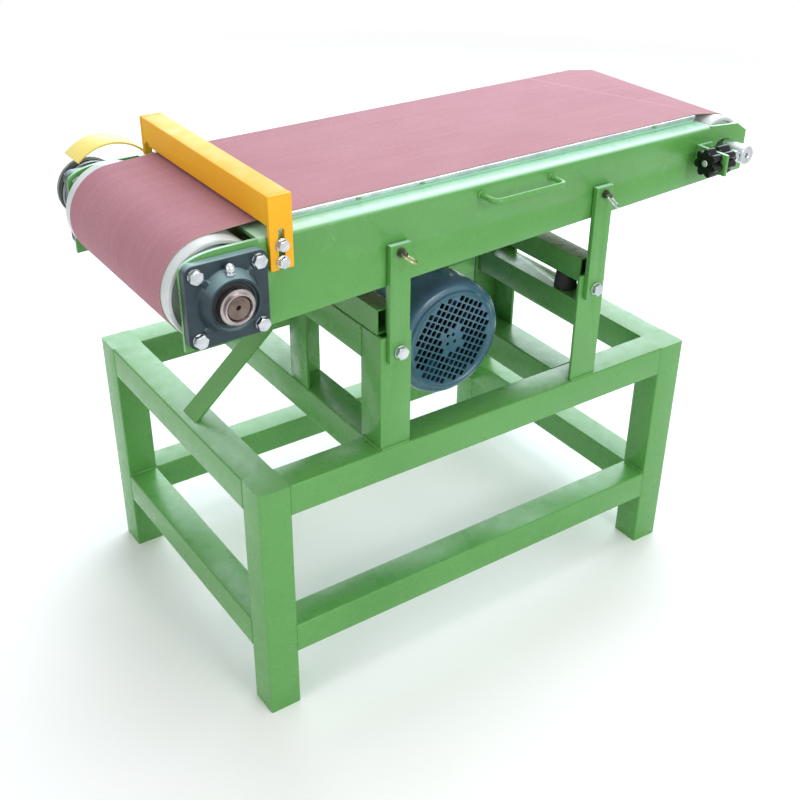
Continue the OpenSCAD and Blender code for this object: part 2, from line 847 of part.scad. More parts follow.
module motor_cowl() color(motor_blue) bench() {
    t = 2.5;
    y1 = frame_y0 + 4;
    pitch = 15;
    difference() {
        rod_y(motor_x, motor_z, cowl_r + 0.5, motor_y0, y1);
        rod_y(motor_x, motor_z, cowl_r - 2, motor_y0 + t, y1 + 1);
        for (i = [-4:4], k = [-4:4])
            if (norm([i * pitch, k * pitch]) < 66 && norm([i * pitch, k * pitch]) > 20)
                translate([motor_x + i * pitch - 5, motor_y0 - 1, motor_z + k * pitch - 3.5])
                    cube([10, t + 2, 7]);
    }
}

module motor_box() color(motor_blue) bench() {
    difference() {
        translate([motor_x - 109, frame_y1 - 54, plate_z - 51]) cube([50, 48, 38]);
        rod_y(motor_x, motor_z, 76, frame_y1 - 66, frame_y1 + 4);
        translate([motor_x - 74, frame_y1 - 66, plate_z - 56]) cube([30, 70, 60]);
        for (a = [180:15:240])
            translate([motor_x, frame_y1 - 66, motor_z]) rotate([0, a, 0])
                translate([70, 0, -1.5]) cube([12, 80, 3]);
        rod_y(motor_x, motor_z, 82, frame_y1 - 16, frame_y1 + 4);
    }
}

module motor_bolts() color(zinc) bench() {
    for (i = [-1, 1], y = foot_y) {
        x = motor_x + i * 70;
        translate([x, y, plate_z - 17]) cylinder(r = m8_r, h = plate_t + 22);
        hex_z(x, y, 13, plate_z + plate_t, plate_z + plate_t + 6);
    }
}

// Inside of the drive belt path, grown by g
function drive_path(g) = let (
    c1 = [drum_x, drum_z], r1 = pulley_a_r - vb_t + gap + g,
    c2 = [motor_x, motor_z], r2 = pulley_b_r - vb_t + gap + g,
    low = tangent(c1, r1, c2, r2, -1), high = tangent(c1, r1, c2, r2, 1))
    concat(arc(c1, r1, high, low + 360), arc(c2, r2, low, high));

module drive_belt() color(black) bench() {
    y0 = drive_y - vb_w / 2;
    y1 = drive_y + vb_w / 2;
    difference() {
        plate_y(drive_path(vb_t), y0, y1);
        plate_y(drive_path(0), y0 - 1, y1 + 1);
    }
}

module drum() color("#d9dde0") bench() {
    y0 = in0 + roller_gap;
    y1 = in1 - roller_gap;
    difference() {
        rod_y(drum_x, drum_z, drum_r, y0, y1);
        rod_y(drum_x, drum_z, drum_r - shell_t, y0 - 1, y0 + 14);
        rod_y(drum_x, drum_z, drum_r - shell_t, y1 - 14, y1 + 1);
        difference() {
            rod_y(drum_x, drum_z, drum_r - shell_t, y0 + 22, y1 - 22);
            rod_y(drum_x, drum_z, drum_shaft_r + 6, y0 + 22, y1 - 22);
        }
        rod_y(drum_x, drum_z, drum_shaft_r, y0 - 1, y1 + 1);
        for (a = [0:60:300])
            rod_y(drum_x + 42 * cos(a), drum_z + 42 * sin(a), 8, y0 - 1, y1 + 1);
    }
}

module drum_shaft() color(steel) bench() {
    difference() {
        rod_y(drum_x, drum_z, drum_shaft_r, wall_y - 42, far_y + 85);
        rod_y(drum_x, drum_z, 3.5, wall_y - 43, wall_y - 34);
    }
}

module insert() {
    difference() {
        union() {
            rod_y(drum_x, drum_z, race_r - run, wall_y - ucf_boss + 5, wall_y - 5);
            rod_y(drum_x, drum_z, collar_r, wall_y - 40, wall_y - 1);
        }
        rod_y(drum_x, drum_z, drum_shaft_r, wall_y - 45, wall_y + 5);
    }
}

module bearing_inserts() color(steel) bench() {
    insert();
    flip() insert();
}

// Grooved pulley on a shaft along y
module pulley(x, z, r, bore) {
    b = r - vb_t - 0.4;
    translate([x, drive_y - pulley_w / 2, z]) rotate([-90, 0, 0]) rotate_extrude()
        polygon([[bore, 0], [r, 0], [r, pulley_w / 2 - 9], [b, pulley_w / 2 - groove_w / 2],
            [b, pulley_w / 2 + groove_w / 2], [r, pulley_w / 2 + 9], [r, pulley_w], [bore, pulley_w]]);
}

module drum_pulley() color("#8f9699") bench() {
    pulley(drum_x, drum_z, pulley_a_r, drum_shaft_r);
}

module idler_shaft() color(zinc) bench() {
    difference() {
        rod_y(idler_x, idler_z, idler_shaft_r, adj_y0 + 15, far_y + adj_reach - 15);
        rod_x(wall_y - rod_out, idler_z, rod_r, idler_x - 20, idler_x + 2);
        rod_x(far_y + rod_out, idler_z, rod_r, idler_x - 20, idler_x + 2);
    }
}

module tension_rod(y) {
    rod_x(y, idler_z, rod_r, adj_x - 26, idler_x + 2);
    translate([idler_x - 24, y, idler_z]) rotate([0, 90, 0]) cylinder(r = 17 / sqrt(3), h = 8, $fn = 6);
}

module tension_rods() color(zinc) bench() {
    tension_rod(wall_y - rod_out);
    tension_rod(far_y + rod_out);
}

module idler_roller() color("#d9dde0") bench() {
    y0 = in0 + roller_gap;
    y1 = in1 - roller_gap;
    difference() {
        rod_y(idler_x, idler_z, idler_r, y0, y1);
        rod_y(idler_x, idler_z, idler_r - shell_t, y0 - 1, y0 + 4);
        rod_y(idler_x, idler_z, idler_r - shell_t, y1 - 4, y1 + 1);
        difference() {
            rod_y(idler_x, idler_z, idler_r - shell_t, y0 + 20, y1 - 20);
            rod_y(idler_x, idler_z, idler_shaft_r + 5, y0 + 20, y1 - 20);
        }
        rod_y(idler_x, idler_z, idler_shaft_r + run, y0 - 1, y1 + 1);
    }
}

// Seven lobed star knob on a rod along x
module star_knob(y, x0, w) {
    difference() {
        translate([x0, y, idler_z]) rotate([0, 90, 0]) union() {
            cylinder(r = 15, h = w);
            for (a = [0:360 / 7:359])
                rotate([0, 0, a]) translate([16.5, 0, 2]) cylinder(r = 5.5, h = w - 4);
        }
        rod_x(y, idler_z, rod_r + run, x0 - 1, x0 + w + 1);
    }
}

module knob_pair(y) {
    star_knob(y, adj_x - gap - knob_w, knob_w);
    star_knob(y, adj_x + adj_t + gap, outer_knob_w);
}

module knobs_near() color(black) bench() {
    knob_pair(wall_y - rod_out);
}

module knobs_far() color(black) bench() {
    knob_pair(far_y + rod_out);
}

// Leg of the fence with a slot that is open at its lower end
module fence_leg() {
    x = fence_x + fence_w / 2;
    difference() {
        translate([fence_x, wall_y - gap - 6, fence_low])
            cube([fence_w, 6, fence_z + fence_h - fence_low]);
        rod_y(x, slot_top, m8_r + 0.4, wall_y - 8, wall_y + 1);
        translate([x - m8_r - 0.4, wall_y - 8, fence_low - 1])
            cube([2 * m8_r + 0.8, 10, slot_top + 1 - fence_low]);
    }
}

module fence() color(yellow) bench() {
    tube_y(fence_x, wall_y - gap, fence_z, fence_w, head_w + 2 * gap, fence_h, 2.5);
    fence_leg();
    flip() fence_leg();
}

// Rotor core, shaft, fan and pulley of the motor
module motor_rotor() color(steel) bench() {
    y0 = frame_y0;
    rod_y(motor_x, motor_z, 12, motor_y0 + 8, motor_y1);
    rod_y(motor_x, motor_z, 50, y0 + 24, frame_y1 - 32);
    rod_y(motor_x, motor_z, 18, motor_y0 + 12, motor_y0 + 42);
    for (a = [0:45:315])
        translate([motor_x, motor_y0 + 12, motor_z]) rotate([0, a, 0])
            translate([10, 0, -1.5]) cube([58, 26, 3]);
    pulley(motor_x, motor_z, pulley_b_r, 12);
}

legs();
long_top_rails();
end_top_rails();
long_stretchers();
end_stretchers();
cross_members();
post_near_left();
post_near_right();
post_inner_left();
post_inner_right();
beam_left();
beam_right();
brace();
hinge_fork_left();
hinge_fork_right();
rubber_buffer();
buffer_bolt();
link_bolts();
link_left();
link_right();
pin_left();
pin_right();
ring_left();
ring_right();
wall_near();
wall_far();
head_tubes();
rail_left();
rail_right();
rail_stays();
cradle_bars();
motor_plate();
hinge_pins();
platen();
platen_packers();
abrasive_belt();
bearing_near();
bearing_far();
bearing_bolts();
grease_nipples();
handle();
adjuster_plates();
fence_bolts();
pulley_guard();
motor_frame();
motor_cowl();
motor_box();
motor_bolts();
drive_belt();
drum();
drum_shaft();
bearing_inserts();
drum_pulley();
idler_shaft();
tension_rods();
idler_roller();
knobs_near();
knobs_far();
fence();
motor_rotor();
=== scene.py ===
import math

import bmesh
import bpy
from mathutils import Matrix, Vector


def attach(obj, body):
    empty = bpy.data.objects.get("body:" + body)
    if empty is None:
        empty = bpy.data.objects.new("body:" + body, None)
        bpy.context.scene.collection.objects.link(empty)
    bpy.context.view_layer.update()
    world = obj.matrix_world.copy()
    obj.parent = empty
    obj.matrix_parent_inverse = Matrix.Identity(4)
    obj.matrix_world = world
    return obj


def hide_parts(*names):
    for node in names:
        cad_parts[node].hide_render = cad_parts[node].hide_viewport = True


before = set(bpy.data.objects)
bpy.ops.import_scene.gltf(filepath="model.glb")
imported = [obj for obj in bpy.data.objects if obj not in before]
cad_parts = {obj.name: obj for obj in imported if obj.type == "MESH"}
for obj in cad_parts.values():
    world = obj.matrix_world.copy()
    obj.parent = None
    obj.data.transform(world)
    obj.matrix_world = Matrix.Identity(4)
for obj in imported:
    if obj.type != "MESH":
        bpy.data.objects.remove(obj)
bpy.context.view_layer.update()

# Looks of a belt sander with a tipping head on a welded tube frame.
# Sizes below are bench millimetres: x along the machine from the outer corner of the base
# frame, y away from the handle side, z up. row() turns them into the part's own metres, and
# ORIGIN is where pieces that are placed later are built.
BENCH_X, BENCH_Y = 391.75, 242.5
ORIGIN = (BENCH_X, BENCH_Y)
MM = 0.001
# Half way between the two walls of the head
HEAD_MIDDLE = 180


def row(x, y, z):
    return Vector(((x - BENCH_X) * MM, (y - BENCH_Y) * MM, z * MM))


bpy.ops.object.select_all(action="DESELECT")

# ------------ camera, lamps and floor

# The camera stands where the photograph was taken from
YAW, PITCH, ROLL = math.radians(34.89), math.radians(31.30), math.radians(0.71)
forward = Vector((math.sin(YAW) * math.cos(PITCH), math.cos(YAW) * math.cos(PITCH),
                  -math.sin(PITCH)))
level = Vector((math.cos(YAW), -math.sin(YAW), 0))
upward = level.cross(forward)
right = math.cos(ROLL) * level + math.sin(ROLL) * upward
over = -math.sin(ROLL) * level + math.cos(ROLL) * upward
bpy.ops.object.camera_add()
camera = bpy.context.object
camera.name = "photo_camera"
camera.matrix_world = Matrix.Translation((-0.95207, -1.37193, 1.31357)) @ Matrix(
    (right, over, -forward)).transposed().to_4x4()
camera.data.sensor_width = 36
camera.data.lens = 52.22
camera.data.clip_end = 50
bpy.context.scene.camera = camera
bpy.context.scene.view_settings.view_transform = "Standard"


def lamp(name, place, target, wide, high, power, tint=(1, 1, 1)):
    """A soft box that faces a point."""
    bpy.ops.object.light_add(type="AREA", location=place)
    o = bpy.context.object
    o.name = name
    o.data.shape = "RECTANGLE"
    o.data.size, o.data.size_y = wide, high
    o.data.energy = power
    o.data.color = tint
    o.rotation_euler = (Vector(target) - Vector(place)).to_track_quat("-Z", "Y").to_euler()


lamp("overhead_box", (0.35, 0.1, 2.9), (0.05, 0, 0.5), 1.7, 1.7, 24, (0.95, 1.0, 1.0))
lamp("front_box", (0.5, -3.0, 1.7), (0, 0, 0.5), 1.6, 1.6, 30, (1.0, 0.99, 0.97))
# A small strong box draws the bright lines on the pressed cowl and the bolts
lamp("key_box", (0.1, -2.9, 2.2), (0, 0, 0.5), 0.6, 0.4, 14)
lamp("left_box", (-3.0, -0.5, 1.6), (0, 0, 0.5), 1.4, 1.4, 19)
# The tops of the rails mirror this cool box towards the camera, which pales them to mint
lamp("rear_box", (1.9, 2.1, 1.95), (0.05, 0, 0.6), 4.2, 2.3, 125, (0.80, 0.92, 1.0))


# ------------ materials


def srgb(code):
    """Turns an sRGB hex colour such as "5f9e57" into linear values."""
    parts = [int(code[i:i + 2], 16) / 255 for i in (0, 2, 4)]
    return tuple(c / 12.92 if c <= 0.04045 else ((c + 0.055) / 1.055) ** 2.4 for c in parts) + (1,)


def add(tree, kind, settings=None, **sockets):
    """Adds a shader node, sets its properties and sets or links its inputs.

    An input is given by its name, or as i0, i1 and so on by its number."""
    n = tree.nodes.new("ShaderNode" + kind)
    for key, value in (settings or {}).items():
        setattr(n, key, value)
    for key, value in sockets.items():
        numbered = key[0] == "i" and key[1:].isdigit()
        socket = n.inputs[int(key[1:]) if numbered else key.replace("_", " ")]
        if isinstance(value, bpy.types.NodeSocket):
            tree.links.new(value, socket)
        else:
            socket.default_value = value
    return n


def maths(tree, operation, *values):
    """A sum, product and so on of values and sockets."""
    inputs = {"i%d" % i: value for i, value in enumerate(values)}
    return add(tree, "Math", {"operation": operation}, **inputs).outputs[0]


def start(name, rough, metal=0.0, **fixed):
    """A new material with its surface shader and Object coordinates."""
    m = bpy.data.materials.new(name)
    m.use_nodes = True
    tree = m.node_tree
    shader = tree.nodes["Principled BSDF"]
    shader.inputs["Roughness"].default_value = rough
    shader.inputs["Metallic"].default_value = metal
    for key, value in fixed.items():
        shader.inputs[key.replace("_", " ")].default_value = value
    place = add(tree, "TexCoord").outputs["Object"]
    return m, tree, shader, place


def noise(tree, place, scale, detail, rough=0.5):
    """Noise with that many cells to a metre."""
    return add(tree, "TexNoise", Vector=place, Scale=scale, Detail=detail,
               Roughness=rough).outputs["Fac"]


def ramp(tree, value, low, high, out_low=0.0, out_high=1.0):
    """Stretches a value from the range low..high to out_low..out_high."""
    return add(tree, "MapRange", None, Value=value, From_Min=low, From_Max=high,
               To_Min=out_low, To_Max=out_high).outputs["Result"]


def blend_colours(tree, factor, a, b):
    """Mixes two colours, each a hex code or a socket."""
    n = tree.nodes.new("ShaderNodeMix")
    n.data_type = "RGBA"
    for socket, value in ((n.inputs[0], factor), (n.inputs[6], a), (n.inputs[7], b)):
        if isinstance(value, bpy.types.NodeSocket):
            tree.links.new(value, socket)
        else:
            socket.default_value = srgb(value) if isinstance(value, str) else value
    return n.outputs[2]


def bump(tree, shader, height, distance, strength):
    """Bump of that many metres under the surface shader."""
    n = add(tree, "Bump", None, Strength=strength, Distance=distance, Height=height)
    tree.links.new(n.outputs["Normal"], shader.inputs["Normal"])


def mottled(tree, place, scale, detail, base, shade, low=0.35, high=0.7):
    """A body colour with soft clouds of a second shade."""
    clouds = ramp(tree, noise(tree, place, scale, detail), low, high)
    return blend_colours(tree, clouds, base, shade)


def colour_by(tree, shader, colour):
    tree.links.new(colour, shader.inputs["Base Color"])


def rough_by(tree, shader, value, low, high, smoothest, roughest):
    """Roughness that follows a value."""
    tree.links.new(ramp(tree, value, low, high, smoothest, roughest), shader.inputs["Roughness"])


def paint_top_sheen(tree, colour, dust, amount):
    """Painted highlight: pales the faces which look up towards a given colour, a sheen painted in
    where they catch the light.
    """
    facing = add(tree, "TexCoord").outputs["Normal"]
    rise = add(tree, "SeparateXYZ", None, Vector=facing).outputs["Z"]
    return blend_colours(tree, ramp(tree, rise, 0.45, 0.9, 0.0, amount), colour, dust)


# Pale mint for the upper faces of green enamel: a painted sheen where they catch the light
PAINTED_SHEEN_MINT = "c4efd9"


def enamel(name, base, shade, dust, rough, sheen_amount=0.0, ior=1.5):
    """Sprayed alkyd enamel on mild steel: glossy, with orange peel and a few dusty places."""
    m, tree, shader, place = start(name, rough, IOR=ior)
    colour = mottled(tree, place, 7, 3, base, shade)
    dusty = maths(tree, "MULTIPLY", ramp(tree, noise(tree, place, 28, 6, 0.65), 0.60, 0.74),
                  ramp(tree, noise(tree, place, 420, 2), 0.45, 0.6, 0.0, 0.5))
    colour = blend_colours(tree, dusty, colour, dust)
    # A painted sheen: the faces which look up are paled towards mint
    if sheen_amount:
        colour = paint_top_sheen(tree, colour, PAINTED_SHEEN_MINT, sheen_amount)
    colour_by(tree, shader, colour)
    rough_by(tree, shader, noise(tree, place, 45, 4), 0.3, 0.75, rough - 0.05, rough + 0.12)
    # Orange peel has waves about 2.5 mm wide; it is drawn 4 mm wide so that it shows
    bump(tree, shader, noise(tree, place, 250, 2), 0.00005, 0.7)
    return m


green_enamel = enamel("green_alkyd_enamel", "5a9c4d", "539346", "89ba84", 0.27)
# The steel beside the belt gets a painted sheen on its upper faces, where they catch the light
sheen_painted_enamel = enamel("green_alkyd_enamel_painted_sheen", "5a9c4d", "539346", "89ba84", 0.27, 0.8)
# The packers under the platen are pale mint all over: the painted sheen of the flange tops
sheen_painted_packer_enamel = enamel("pale_mint_alkyd_enamel_painted_sheen", "a3d6b8", "96cbab", PAINTED_SHEEN_MINT, 0.5)
yellow_enamel = enamel("yellow_alkyd_enamel", "f2b31a", "eca814", "f3d884", 0.5, ior=1.4)
# The guard takes a paler copy of the yellow enamel: a painted sheen where the bent strip catches
# the overhead light
guard_sheen_painted_enamel = enamel("yellow_alkyd_enamel_painted_sheen", "eddb78", "e8d268", "f3e8aa", 0.42)


def castings():
    """Blue grey machine enamel over a sand cast iron housing: the grain of the mould shows."""
    m, tree, shader, place = start("painted_grey_cast_iron", 0.36, IOR=1.4)
    grain = noise(tree, place, 900, 4, 0.6)
    colour = mottled(tree, place, 60, 4, "22343b", "2b4048")
    colour = blend_colours(tree, ramp(tree, grain, 0.62, 0.75, 0, 0.3), colour, "5d7379")
    # The faces which look up are paled towards a pale blue grey: a painted highlight where the top
    # edges catch the light
    colour_by(tree, shader, paint_top_sheen(tree, colour, "9fbfc3", 0.6))
    rough_by(tree, shader, grain, 0.3, 0.7, 0.26, 0.46)
    bump(tree, shader, grain, 0.0002, 0.7)
    return m


def metal(name, base, shade, rough, lines=None):
    """A bare metal. lines stretches its tool marks along x, y and z; None gives a dull skin."""
    m, tree, shader, place = start(name, rough, 1.0)
    if lines:
        place_lines = add(tree, "Mapping", None, Vector=place, Scale=lines).outputs[0]
        marks = noise(tree, place_lines, 1.0, 2)
    else:
        marks = noise(tree, place, 700, 3)
    stain = noise(tree, place, 55, 4)
    colour_by(tree, shader, blend_colours(tree, ramp(tree, stain, 0.35, 0.7), base, shade))
    mixed = maths(tree, "ADD", marks, stain)
    rough_by(tree, shader, mixed, 0.7, 1.3, rough - 0.1, rough + 0.1)
    bump(tree, shader, marks, 0.00003, 0.5)
    return m


# Bright zinc plate on bolts and wire: bluish white, slightly cloudy
zinc_plate = metal("bright_zinc_plate", "cfd3d6", "aeb4ba", 0.28)
# Ground flat bar: fine lines along the machine
ground_steel = metal("ground_mild_steel", "cdd3d8", "aeb4ba", 0.36, (40, 2500, 2500))
# Turned shafts: fine rings round y
turned_steel = metal("turned_carbon_steel", "80726a", "5f534d", 0.34, (300, 5000, 300))
# Yellow passivated zinc on the left split ring
brassy_zinc = metal("yellow_passivated_zinc", "cfc7a6", "a39b7c", 0.32)
# Bare cast iron pulley: dull, with turned grooves
pulley_iron = metal("turned_grey_cast_iron", "8c9294", "6c7274", 0.48, (400, 3000, 400))
# Lock pins: blackened steel, worn to a dull shine
dark_steel = metal("blackened_carbon_steel", "6b675e", "47453f", 0.4, (300, 5000, 300))
# Bearing steel of the inner ring and collar
ring_steel = metal("ground_bearing_steel", "bdb2b2", "958b8b", 0.3, (500, 6000, 500))


def lacquer_white():
    """Drum and idler: machined aluminium with a white stoved lacquer, dusty with sanding."""
    m, tree, shader, place = start("white_stoved_lacquer", 0.38, IOR=1.5)
    colour_by(tree, shader, mottled(tree, place, 40, 5, "d2d7d7", "bfc6c5", 0.4, 0.75))
    rough_by(tree, shader, noise(tree, place, 120, 3), 0.3, 0.7, 0.3, 0.5)
    bump(tree, shader, noise(tree, place, 300, 2), 0.00004, 0.6)
    return m


def motor_paint():
    """Blue grey machine enamel on pressed steel and die cast aluminium."""
    m, tree, shader, place = start("blue_grey_machine_enamel", 0.2, IOR=1.5)
    colour = mottled(tree, place, 18, 4, "3f667a", "497488")
    dust = ramp(tree, noise(tree, place, 160, 5, 0.7), 0.6, 0.75, 0, 0.45)
    colour_by(tree, shader, blend_colours(tree, dust, colour, "8ea6b3"))
    rough_by(tree, shader, noise(tree, place, 70, 3), 0.3, 0.7, 0.15, 0.28)
    bump(tree, shader, noise(tree, place, 350, 2), 0.00006, 0.7)
    return m


def abrasive():
    """Aluminium oxide grit in resin on cloth: matt, mauve, with a grain in the finish."""
    m, tree, shader, place = start("aluminium_oxide_cloth", 0.82, IOR=1.45)
    # Grit 60 is 0.25 mm; it is drawn 0.7 mm wide so that it shows
    grit = add(tree, "TexVoronoi", {"feature": "F1"}, Vector=place,
               Scale=1400.0).outputs["Distance"]
    streak_place = add(tree, "Mapping", None, Vector=place, Scale=(6, 160, 6)).outputs[0]
    streak = noise(tree, streak_place, 1.0, 3)
    colour = mottled(tree, place, 9, 4, "bd8a95", "b6808c")
    colour = blend_colours(tree, ramp(tree, streak, 0.45, 0.75, 0, 0.4), colour, "c9999f")
    colour = blend_colours(tree, ramp(tree, grit, 0.2, 0.7, 0.0, 0.55), colour, "905a66")
    # The splice: a slanting pale line, 2 mm wide, where the two ends of the cloth meet. It
    # crosses y = 0 at splice_x and is drawn on the top run of the belt alone
    splice_x, splice_slant, top_run = 0.33822, 0.374, 0.75
    part = add(tree, "SeparateXYZ", None, Vector=place).outputs
    line_x = maths(tree, "MULTIPLY_ADD", part["Y"], splice_slant, part["X"])
    off = maths(tree, "ABSOLUTE", maths(tree, "SUBTRACT", line_x, splice_x))
    on_top = maths(tree, "GREATER_THAN", part["Z"], top_run)
    line = maths(tree, "MULTIPLY", ramp(tree, off, 0.0007, 0.0011, 0.35, 0.0), on_top)
    colour_by(tree, shader, blend_colours(tree, line, colour, "e6c8cb"))
    bump(tree, shader, grit, 0.00025, 0.8)
    return m


def cloth_back():
    """Woven polyester and cotton back of the abrasive belt, undyed."""
    m, tree, shader, place = start("undyed_cloth_backing", 0.85, IOR=1.45)
    weave = add(tree, "TexWave", {"wave_type": "BANDS", "bands_direction": "Y"},
                Vector=place, Scale=300.0, Distortion=0.5).outputs["Fac"]
    colour_by(tree, shader, blend_colours(tree, weave, "b9a48e", "9c866f"))
    bump(tree, shader, weave, 0.0001, 0.6)
    return m


def dull(name, base, shade, rough, scale, depth, ior=1.5):
    """Rubber and moulded plastic: a dark body colour with a fine skin."""
    m, tree, shader, place = start(name, rough, IOR=ior)
    skin = noise(tree, place, scale, 3)
    colour_by(tree, shader, mottled(tree, place, scale / 8, 3, base, shade))
    rough_by(tree, shader, skin, 0.3, 0.7, rough - 0.06, rough + 0.1)
    bump(tree, shader, skin, depth, 0.6)
    return m


# Natural rubber buffer and drive belt: matt with a little bloom
rubber = dull("black_natural_rubber", "1c1c1d", "2b2b2b", 0.7, 900, 0.0001)
# Moulded phenolic star knobs: deep black and glossy
phenolic = dull("black_phenolic_moulding", "08090a", "0e0f11", 0.12, 400, 0.00003, 1.36)
cast_paint = castings()
white_lacquer = lacquer_white()
motor_enamel = motor_paint()
grit_cloth = abrasive()
belt_back = cloth_back()

# ------------ modelling helpers

# Points closer than this are one; edges that turn by more than this are rounded
MERGE, SHARP = 0.01 * MM, math.radians(40)


def only(o):
    """Selects this piece alone, in object mode, and makes it the active one."""
    if bpy.context.object and bpy.context.object.mode != "OBJECT":
        bpy.ops.object.mode_set(mode="OBJECT")
    bpy.ops.object.select_all(action="DESELECT")
    o.select_set(True)
    bpy.context.view_layer.objects.active = o


def modify(o, kind, **settings):
    """Adds a modifier to a piece and applies it."""
    only(o)
    modifier = o.modifiers.new(kind.lower(), kind)
    for key, value in settings.items():
        setattr(modifier, key, value)
    bpy.ops.object.modifier_apply(modifier=modifier.name)


def seat(o):
    """Puts a piece's place, turn and size into its mesh."""
    only(o)
    bpy.ops.object.transform_apply(location=True, rotation=True, scale=True)
    return o


def edit(o, mode="EDGE"):
    """Opens a piece in edit mode with nothing selected."""
    only(o)
    bpy.ops.object.mode_set(mode="EDIT")
    bpy.ops.mesh.select_mode(type=mode)
    bpy.ops.mesh.select_all(action="DESELECT")
    return bmesh.from_edit_mesh(o.data)


def pick_along(mesh, axis, least):
    """Selects the edges that run along an axis for more than so many metres."""
    for e in mesh.edges:
        if abs((e.verts[1].co - e.verts[0].co)[axis]) > least:
            e.select = True


def close(o):
    bmesh.update_edit_mesh(o.data)
    bpy.ops.object.mode_set(mode="OBJECT")


def linked(name, data):
    """A new object in the scene."""
    o = bpy.data.objects.new(name, data)
    bpy.context.scene.collection.objects.link(o)
    return o


def drawn(name, points, edges, faces=()):
    """A piece drawn straight from its points."""
    mesh = bpy.data.meshes.new(name)
    mesh.from_pydata(points, edges, faces)
    return linked(name, mesh)


def merged_copy(node, name):
    """A copy of a CAD node's mesh with its points merged and its flat faces joined."""
    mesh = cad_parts[node].data.copy()
    mesh.name = name
    o = linked(name, mesh)
    only(o)
    bpy.ops.object.mode_set(mode="EDIT")
    bpy.ops.mesh.select_all(action="SELECT")
    bpy.ops.mesh.remove_doubles(threshold=MERGE)
    bpy.ops.mesh.dissolve_limited(angle_limit=math.radians(0.5))
    bpy.ops.object.mode_set(mode="OBJECT")
    o.data.materials.clear()
    return o


def finish(o, material, body, slot, *nodes, angle=32):
    """Shades a finished piece, gives it its material and body and hides the nodes it stands for;
    slot is not used.
    """
    only(o)
    bpy.ops.object.shade_smooth_by_angle(angle=math.radians(angle))
    o.data.materials.clear()
    o.data.materials.append(material)
    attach(o, body)
    if nodes:
        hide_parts(*nodes)
    return o


def rounded(node, name, radius, segments, axis=None):
    """A copy of a node with its sharp edges rounded. With an axis, only the edges along it."""
    o = merged_copy(node, name)
    mesh = edit(o, "EDGE")
    for e in mesh.edges:
        if len(e.link_faces) != 2 or e.calc_face_angle() < SHARP:
            continue
        if axis is not None:
            d = (e.verts[1].co - e.verts[0].co).normalized()
            if abs(d[axis]) < 0.98:
                continue
        if e.calc_face_angle_signed() > 0:
            e.select = True
    bmesh.update_edit_mesh(o.data)
    bpy.ops.mesh.bevel(offset=radius * MM, segments=segments, profile=0.5, clamp_overlap=True)
    close(o)
    return o


def joined(name, parts):
    """Joins pieces into one."""
    bpy.ops.object.select_all(action="DESELECT")
    for p in parts:
        p.select_set(True)
    bpy.context.view_layer.objects.active = parts[0]
    if len(parts) > 1:
        bpy.ops.object.join()
    o = bpy.context.object
    o.name = name
    o.data.name = name
    return o


def dropped(o):
    bpy.data.objects.remove(o, do_unlink=True)


def tidy_normals(o):
    """Merges doubled points and turns all faces outwards."""
    only(o)
    bpy.ops.object.mode_set(mode="EDIT")
    bpy.ops.mesh.select_all(action="SELECT")
    bpy.ops.mesh.remove_doubles(threshold=MERGE)
    bpy.ops.mesh.normals_make_consistent(inside=False)
    bpy.ops.object.mode_set(mode="OBJECT")


def block(name, x0, x1, y0, y1, z0, z1, radius=0.0, segments=3):
    """A block between bench planes, with its edges rounded."""
    a, b = row(x0, y0, z0), row(x1, y1, z1)
    bpy.ops.mesh.primitive_cube_add(size=1, location=(a + b) / 2, scale=b - a)
    o = seat(bpy.context.object)
    o.name = name
    if radius:
        edit(o)
        bpy.ops.mesh.select_all(action="SELECT")
        bpy.ops.mesh.bevel(offset=radius * MM, segments=segments, profile=0.5)
        close(o)
    return o


def turned(name, profile, centre, steps, axis="Y"):
    """A turned part: a profile of (radius, place along the axis) in mm is spun round the axis.

    centre is the bench x and z of an axis along y, the x and y of one along z, or the y and z
    of one along x."""
    if axis == "Y":
        c, d = row(centre[0], 0, centre[1]), Vector((0, 1, 0))
        points = [Vector((c.x + r * MM, row(0, t, 0).y, c.z)) for r, t in profile]
    elif axis == "Z":
        c, d = row(centre[0], centre[1], 0), Vector((0, 0, 1))
        points = [Vector((c.x + r * MM, c.y, t * MM)) for r, t in profile]
    else:
        c, d = row(0, centre[0], centre[1]), Vector((1, 0, 0))
        points = [Vector((row(t, 0, 0).x, c.y, c.z + r * MM)) for r, t in profile]
    closed = all(r > 0 for r, t in profile)
    count = len(points)
    edges = [(i, (i + 1) % count) for i in range(count if closed else count - 1)]
    o = drawn(name, points, edges)
    edit(o, "VERT")
    bpy.ops.mesh.select_all(action="SELECT")
    bpy.ops.mesh.spin(steps=steps, angle=math.tau, center=c, axis=d)
    bpy.ops.object.mode_set(mode="OBJECT")
    tidy_normals(o)
    return o


def drill(r, a, b, centre, steps, axis="Y"):
    """A plain cylinder to cut with, from a to b along its axis."""
    return turned("drill", [(0, a), (r, a), (r, b), (0, b)], centre, steps, axis)


def washer_profile(inner, outer, low, high, edge):
    return [(inner, low), (outer - edge, low), (outer, low + edge), (outer, high - edge),
            (outer - edge, high), (inner, high)]


def cut(o, cutters, operation="DIFFERENCE"):
    """Cuts a piece with others, which are then deleted."""
    tool = joined(o.name + "_tool", cutters)
    modify(o, "BOOLEAN", object=tool, operation=operation, solver="EXACT",
           use_self=len(cutters) > 1)
    dropped(tool)
    return o


def placed_copy(o, name, matrix):
    """A copy with its own mesh, moved by a matrix."""
    mesh = o.data.copy()
    mesh.transform(matrix)
    if matrix.determinant() < 0:
        mesh.flip_normals()
    return linked(name, mesh)


def about(centre, matrix):
    """A turn or a mirror that leaves one point where it is."""
    return Matrix.Translation(centre) @ matrix @ Matrix.Translation(-centre)


